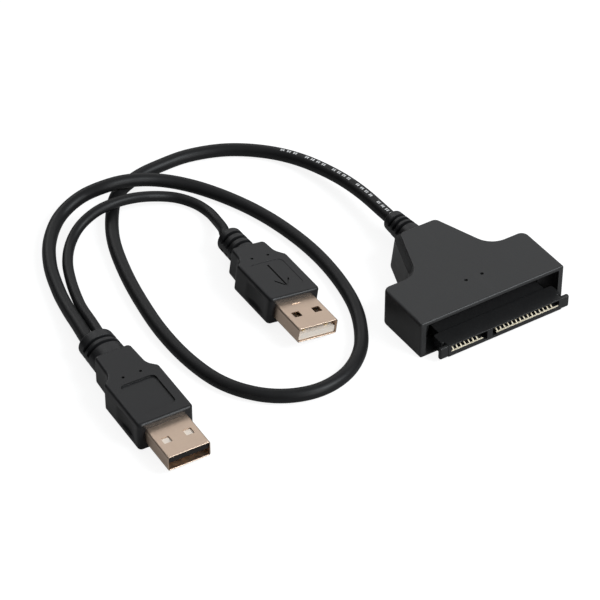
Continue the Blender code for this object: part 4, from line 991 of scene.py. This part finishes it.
class ADAPTER_OT_plugs(bpy.types.Operator):
    """Mould the grips and reliefs of both plugs, fold their shells and finish their tongues"""

    bl_idname = "adapter.plugs"
    bl_label = "Plugs"

    def execute(self, context):
        colours = context.scene.adapter_colours
        pale = tuple(colours.insulator)
        # the data plug's tongue is painted dark near its tip: painted shade for its shadowed mouth
        mouth = PLUG_PLACES["data_plug"][0][1] + TONGUE_PAINTED_SHADE_END
        tongues = {
            "data_plug": shade_painted_resin("shade_painted_resin", pale, (0.012, 0.01, 0.009), mouth),
            "power_plug": glossy_resin("insulator_resin", pale, 0.45, (0.9, 0.86, 0.78), 2400.0),
        }
        for prefix, (_, yaw, _) in PLUG_PLACES.items():
            turn = (0.0, 0.0, -yaw)
            plated = plated_metal(f"{prefix}_plating", tuple(colours.shell), 0.35, (1.0, 0.08, 1.0), turn)
            show(grip_mesh(prefix), grip_plastic(), (f"{prefix}_grip",))
            show(shell_mesh(prefix), plated, (f"{prefix}_shell",))
            if prefix == "power_plug":
                show(shell_bar(), plated)
            relief = (f"{prefix}_relief", grip_back(prefix), PLUG_RELIEFS[prefix], 0.0, prefix)
            show(ribbed_relief(*relief), grip_plastic(), even=False)
            dress(f"{prefix}_tongue", tongues[prefix])
        return {"FINISHED"}


def declare_cords():
    """Work out the cords' paths and the names of the pieces that lie on each; nothing is done with them.
    """
    plugs = {"main_cord": "data_plug", "thin_cord": "power_plug"}
    for name, (start, path) in cord_paths().items():
        pieces = [f"{plugs[name]}_{piece}" for piece in ("moulding", "folded_shell", "relief", "tongue")]
        pieces += [f"{plugs[name]}_contact_{way}" for way in range(1, 5)]
        getattr(bpy.context.scene.adapter_sizes, name)


def aim(thing, target):
    """Point a camera or a lamp at a place."""
    thing.rotation_euler = (Vector(target) - thing.location).to_track_quat("-Z", "Y").to_euler()


class ADAPTER_OT_camera(bpy.types.Operator):
    """Set the camera above the left of the adapter's front"""

    bl_idname = "adapter.camera"
    bl_label = "Camera"

    def execute(self, context):
        data = bpy.data.cameras.new("view")
        data.lens = context.scene.adapter_stage.lens
        data.sensor_width = 36.0
        data.clip_start = 0.01
        camera = linked("view", data)
        camera.location = CAMERA_PLACE
        aim(camera, CAMERA_TARGET)
        context.scene.camera = camera
        return {"FINISHED"}


def lamp(name, place, target, size, power, colour=(1.0, 1.0, 1.0)):
    """Square soft lamp."""
    data = bpy.data.lights.new(name, "AREA")
    data.shape = "SQUARE"
    data.size = size
    data.energy = power
    data.color = colour
    thing = linked(name, data)
    thing.location = place
    aim(thing, target)


def seen_directly(finish):
    """1 for rays from the camera, a sixth for mirrored or refracted ones, and 0 for light's own."""
    kinds = ("Is Camera Ray", "Is Glossy Ray", "Is Transmission Ray")
    camera, glossy, through = (finish.node("ShaderNodeLightPath", output=kind) for kind in kinds)
    return (camera + (glossy + through) * 0.16).clamped()


class ADAPTER_OT_stage(bpy.types.Operator):
    """Lay the pale floor and hang the soft lamps"""

    bl_idname = "adapter.stage"
    bl_label = "Stage"

    def execute(self, context):
        stage = context.scene.adapter_stage
        reach = 3.0
        lines = np.linspace(-reach, reach, 3)
        x, y = np.meshgrid(lines, lines, indexing="ij")
        faces = quads(3, 3, False, False)[:, ::-1].tolist()
        mesh = mesh_of("floor", np.stack((x, y, 0.0 * x), axis=2), faces)
        linked("floor", mesh)
        tone = stage.floor_tone
        paper = Finish("pale_paper", (tone, tone, tone), 0.9, Specular_IOR_Level=0.0)
        glow = seen_directly(paper) * stage.floor_glow
        paper.shader.inputs["Emission Strength"].default_value = 1.0
        white = paper.node("ShaderNodeCombineXYZ", {}, {0: glow, 1: glow, 2: glow})
        paper.shine(Emission_Color=white)
        mesh.materials.append(paper.material)

        world = bpy.data.worlds.new("studio")
        context.scene.world = world
        world.use_nodes = True
        air = Nodes(world.node_tree)
        way = air.node("ShaderNodeTexCoord", output="Generated")
        rise = air.node("ShaderNodeSeparateXYZ", {}, {0: way}, output=2)
        strength = (rise * rise).clamped() * stage.sky
        colour = (0.97, 0.985, 1.0, 1.0)
        sky = air.node("ShaderNodeBackground", {}, {"Color": colour, "Strength": strength})
        backdrop = air.node("ShaderNodeBackground", {}, {"Color": (1.0, 1.0, 1.0, 1.0)})
        seen = air.node("ShaderNodeLightPath", output="Is Camera Ray")
        both = air.node("ShaderNodeMixShader", {}, {0: seen, 1: sky, 2: backdrop})
        air.tree.links.new(both.link, air.tree.nodes["World Output"].inputs["Surface"])

        middle = (-0.035, 0.025, 0.0)
        lamp("key_lamp", (0.74, 0.80, 0.62), middle, 1.1, stage.key)
        lamp("back_lamp", (-0.035, 1.14, 0.70), middle, 0.6, stage.back)
        lamp("rim_lamp", (0.52, -0.80, 0.85), middle, 0.56, stage.rim, (0.92, 0.97, 1.0))
        lamp("fill_lamp", (0.2, -1.3, 0.36), middle, 0.5, stage.fill)
        context.scene.view_settings.view_transform = "Standard"
        return {"FINISHED"}


class ADAPTER_PT_panel(bpy.types.Panel):
    """Sizes, colours and steps of the adapter"""

    bl_idname = "ADAPTER_PT_panel"
    bl_label = "USB to SATA Adapter"
    bl_space_type = "VIEW_3D"
    bl_region_type = "UI"
    bl_category = "Adapter"

    def draw(self, context):
        layout = self.layout
        for name, kind in GROUPS.items():
            column = layout.column(align=True)
            for setting in kind.__annotations__:
                column.prop(getattr(context.scene, name), setting)
        for step in STEPS:
            layout.operator(step.bl_idname)


GROUPS = {
    "adapter_sizes": AdapterSizes,
    "adapter_colours": AdapterColours,
    "adapter_stage": AdapterStage,
}
STEPS = (
    ADAPTER_OT_camera,
    ADAPTER_OT_cords,
    ADAPTER_OT_head,
    ADAPTER_OT_receptacle,
    ADAPTER_OT_board,
    ADAPTER_OT_plugs,
    ADAPTER_OT_stage,
)


def register():
    """Register the settings, the steps and the panel."""
    for name, group in GROUPS.items():
        bpy.utils.register_class(group)
        setattr(bpy.types.Scene, name, bpy.props.PointerProperty(type=group))
    for step in (*STEPS, ADAPTER_PT_panel):
        bpy.utils.register_class(step)


def unregister():
    """Take them all away again."""
    for step in reversed((*STEPS, ADAPTER_PT_panel)):
        bpy.utils.unregister_class(step)
    for name, group in GROUPS.items():
        delattr(bpy.types.Scene, name)
        bpy.utils.unregister_class(group)


def main():
    """Build every piece in order."""
    register()
    for step in STEPS:
        space, name = step.bl_idname.split(".")
        getattr(getattr(bpy.ops, space), name)()
    declare_cords()


if __name__ == "__main__":
    main()
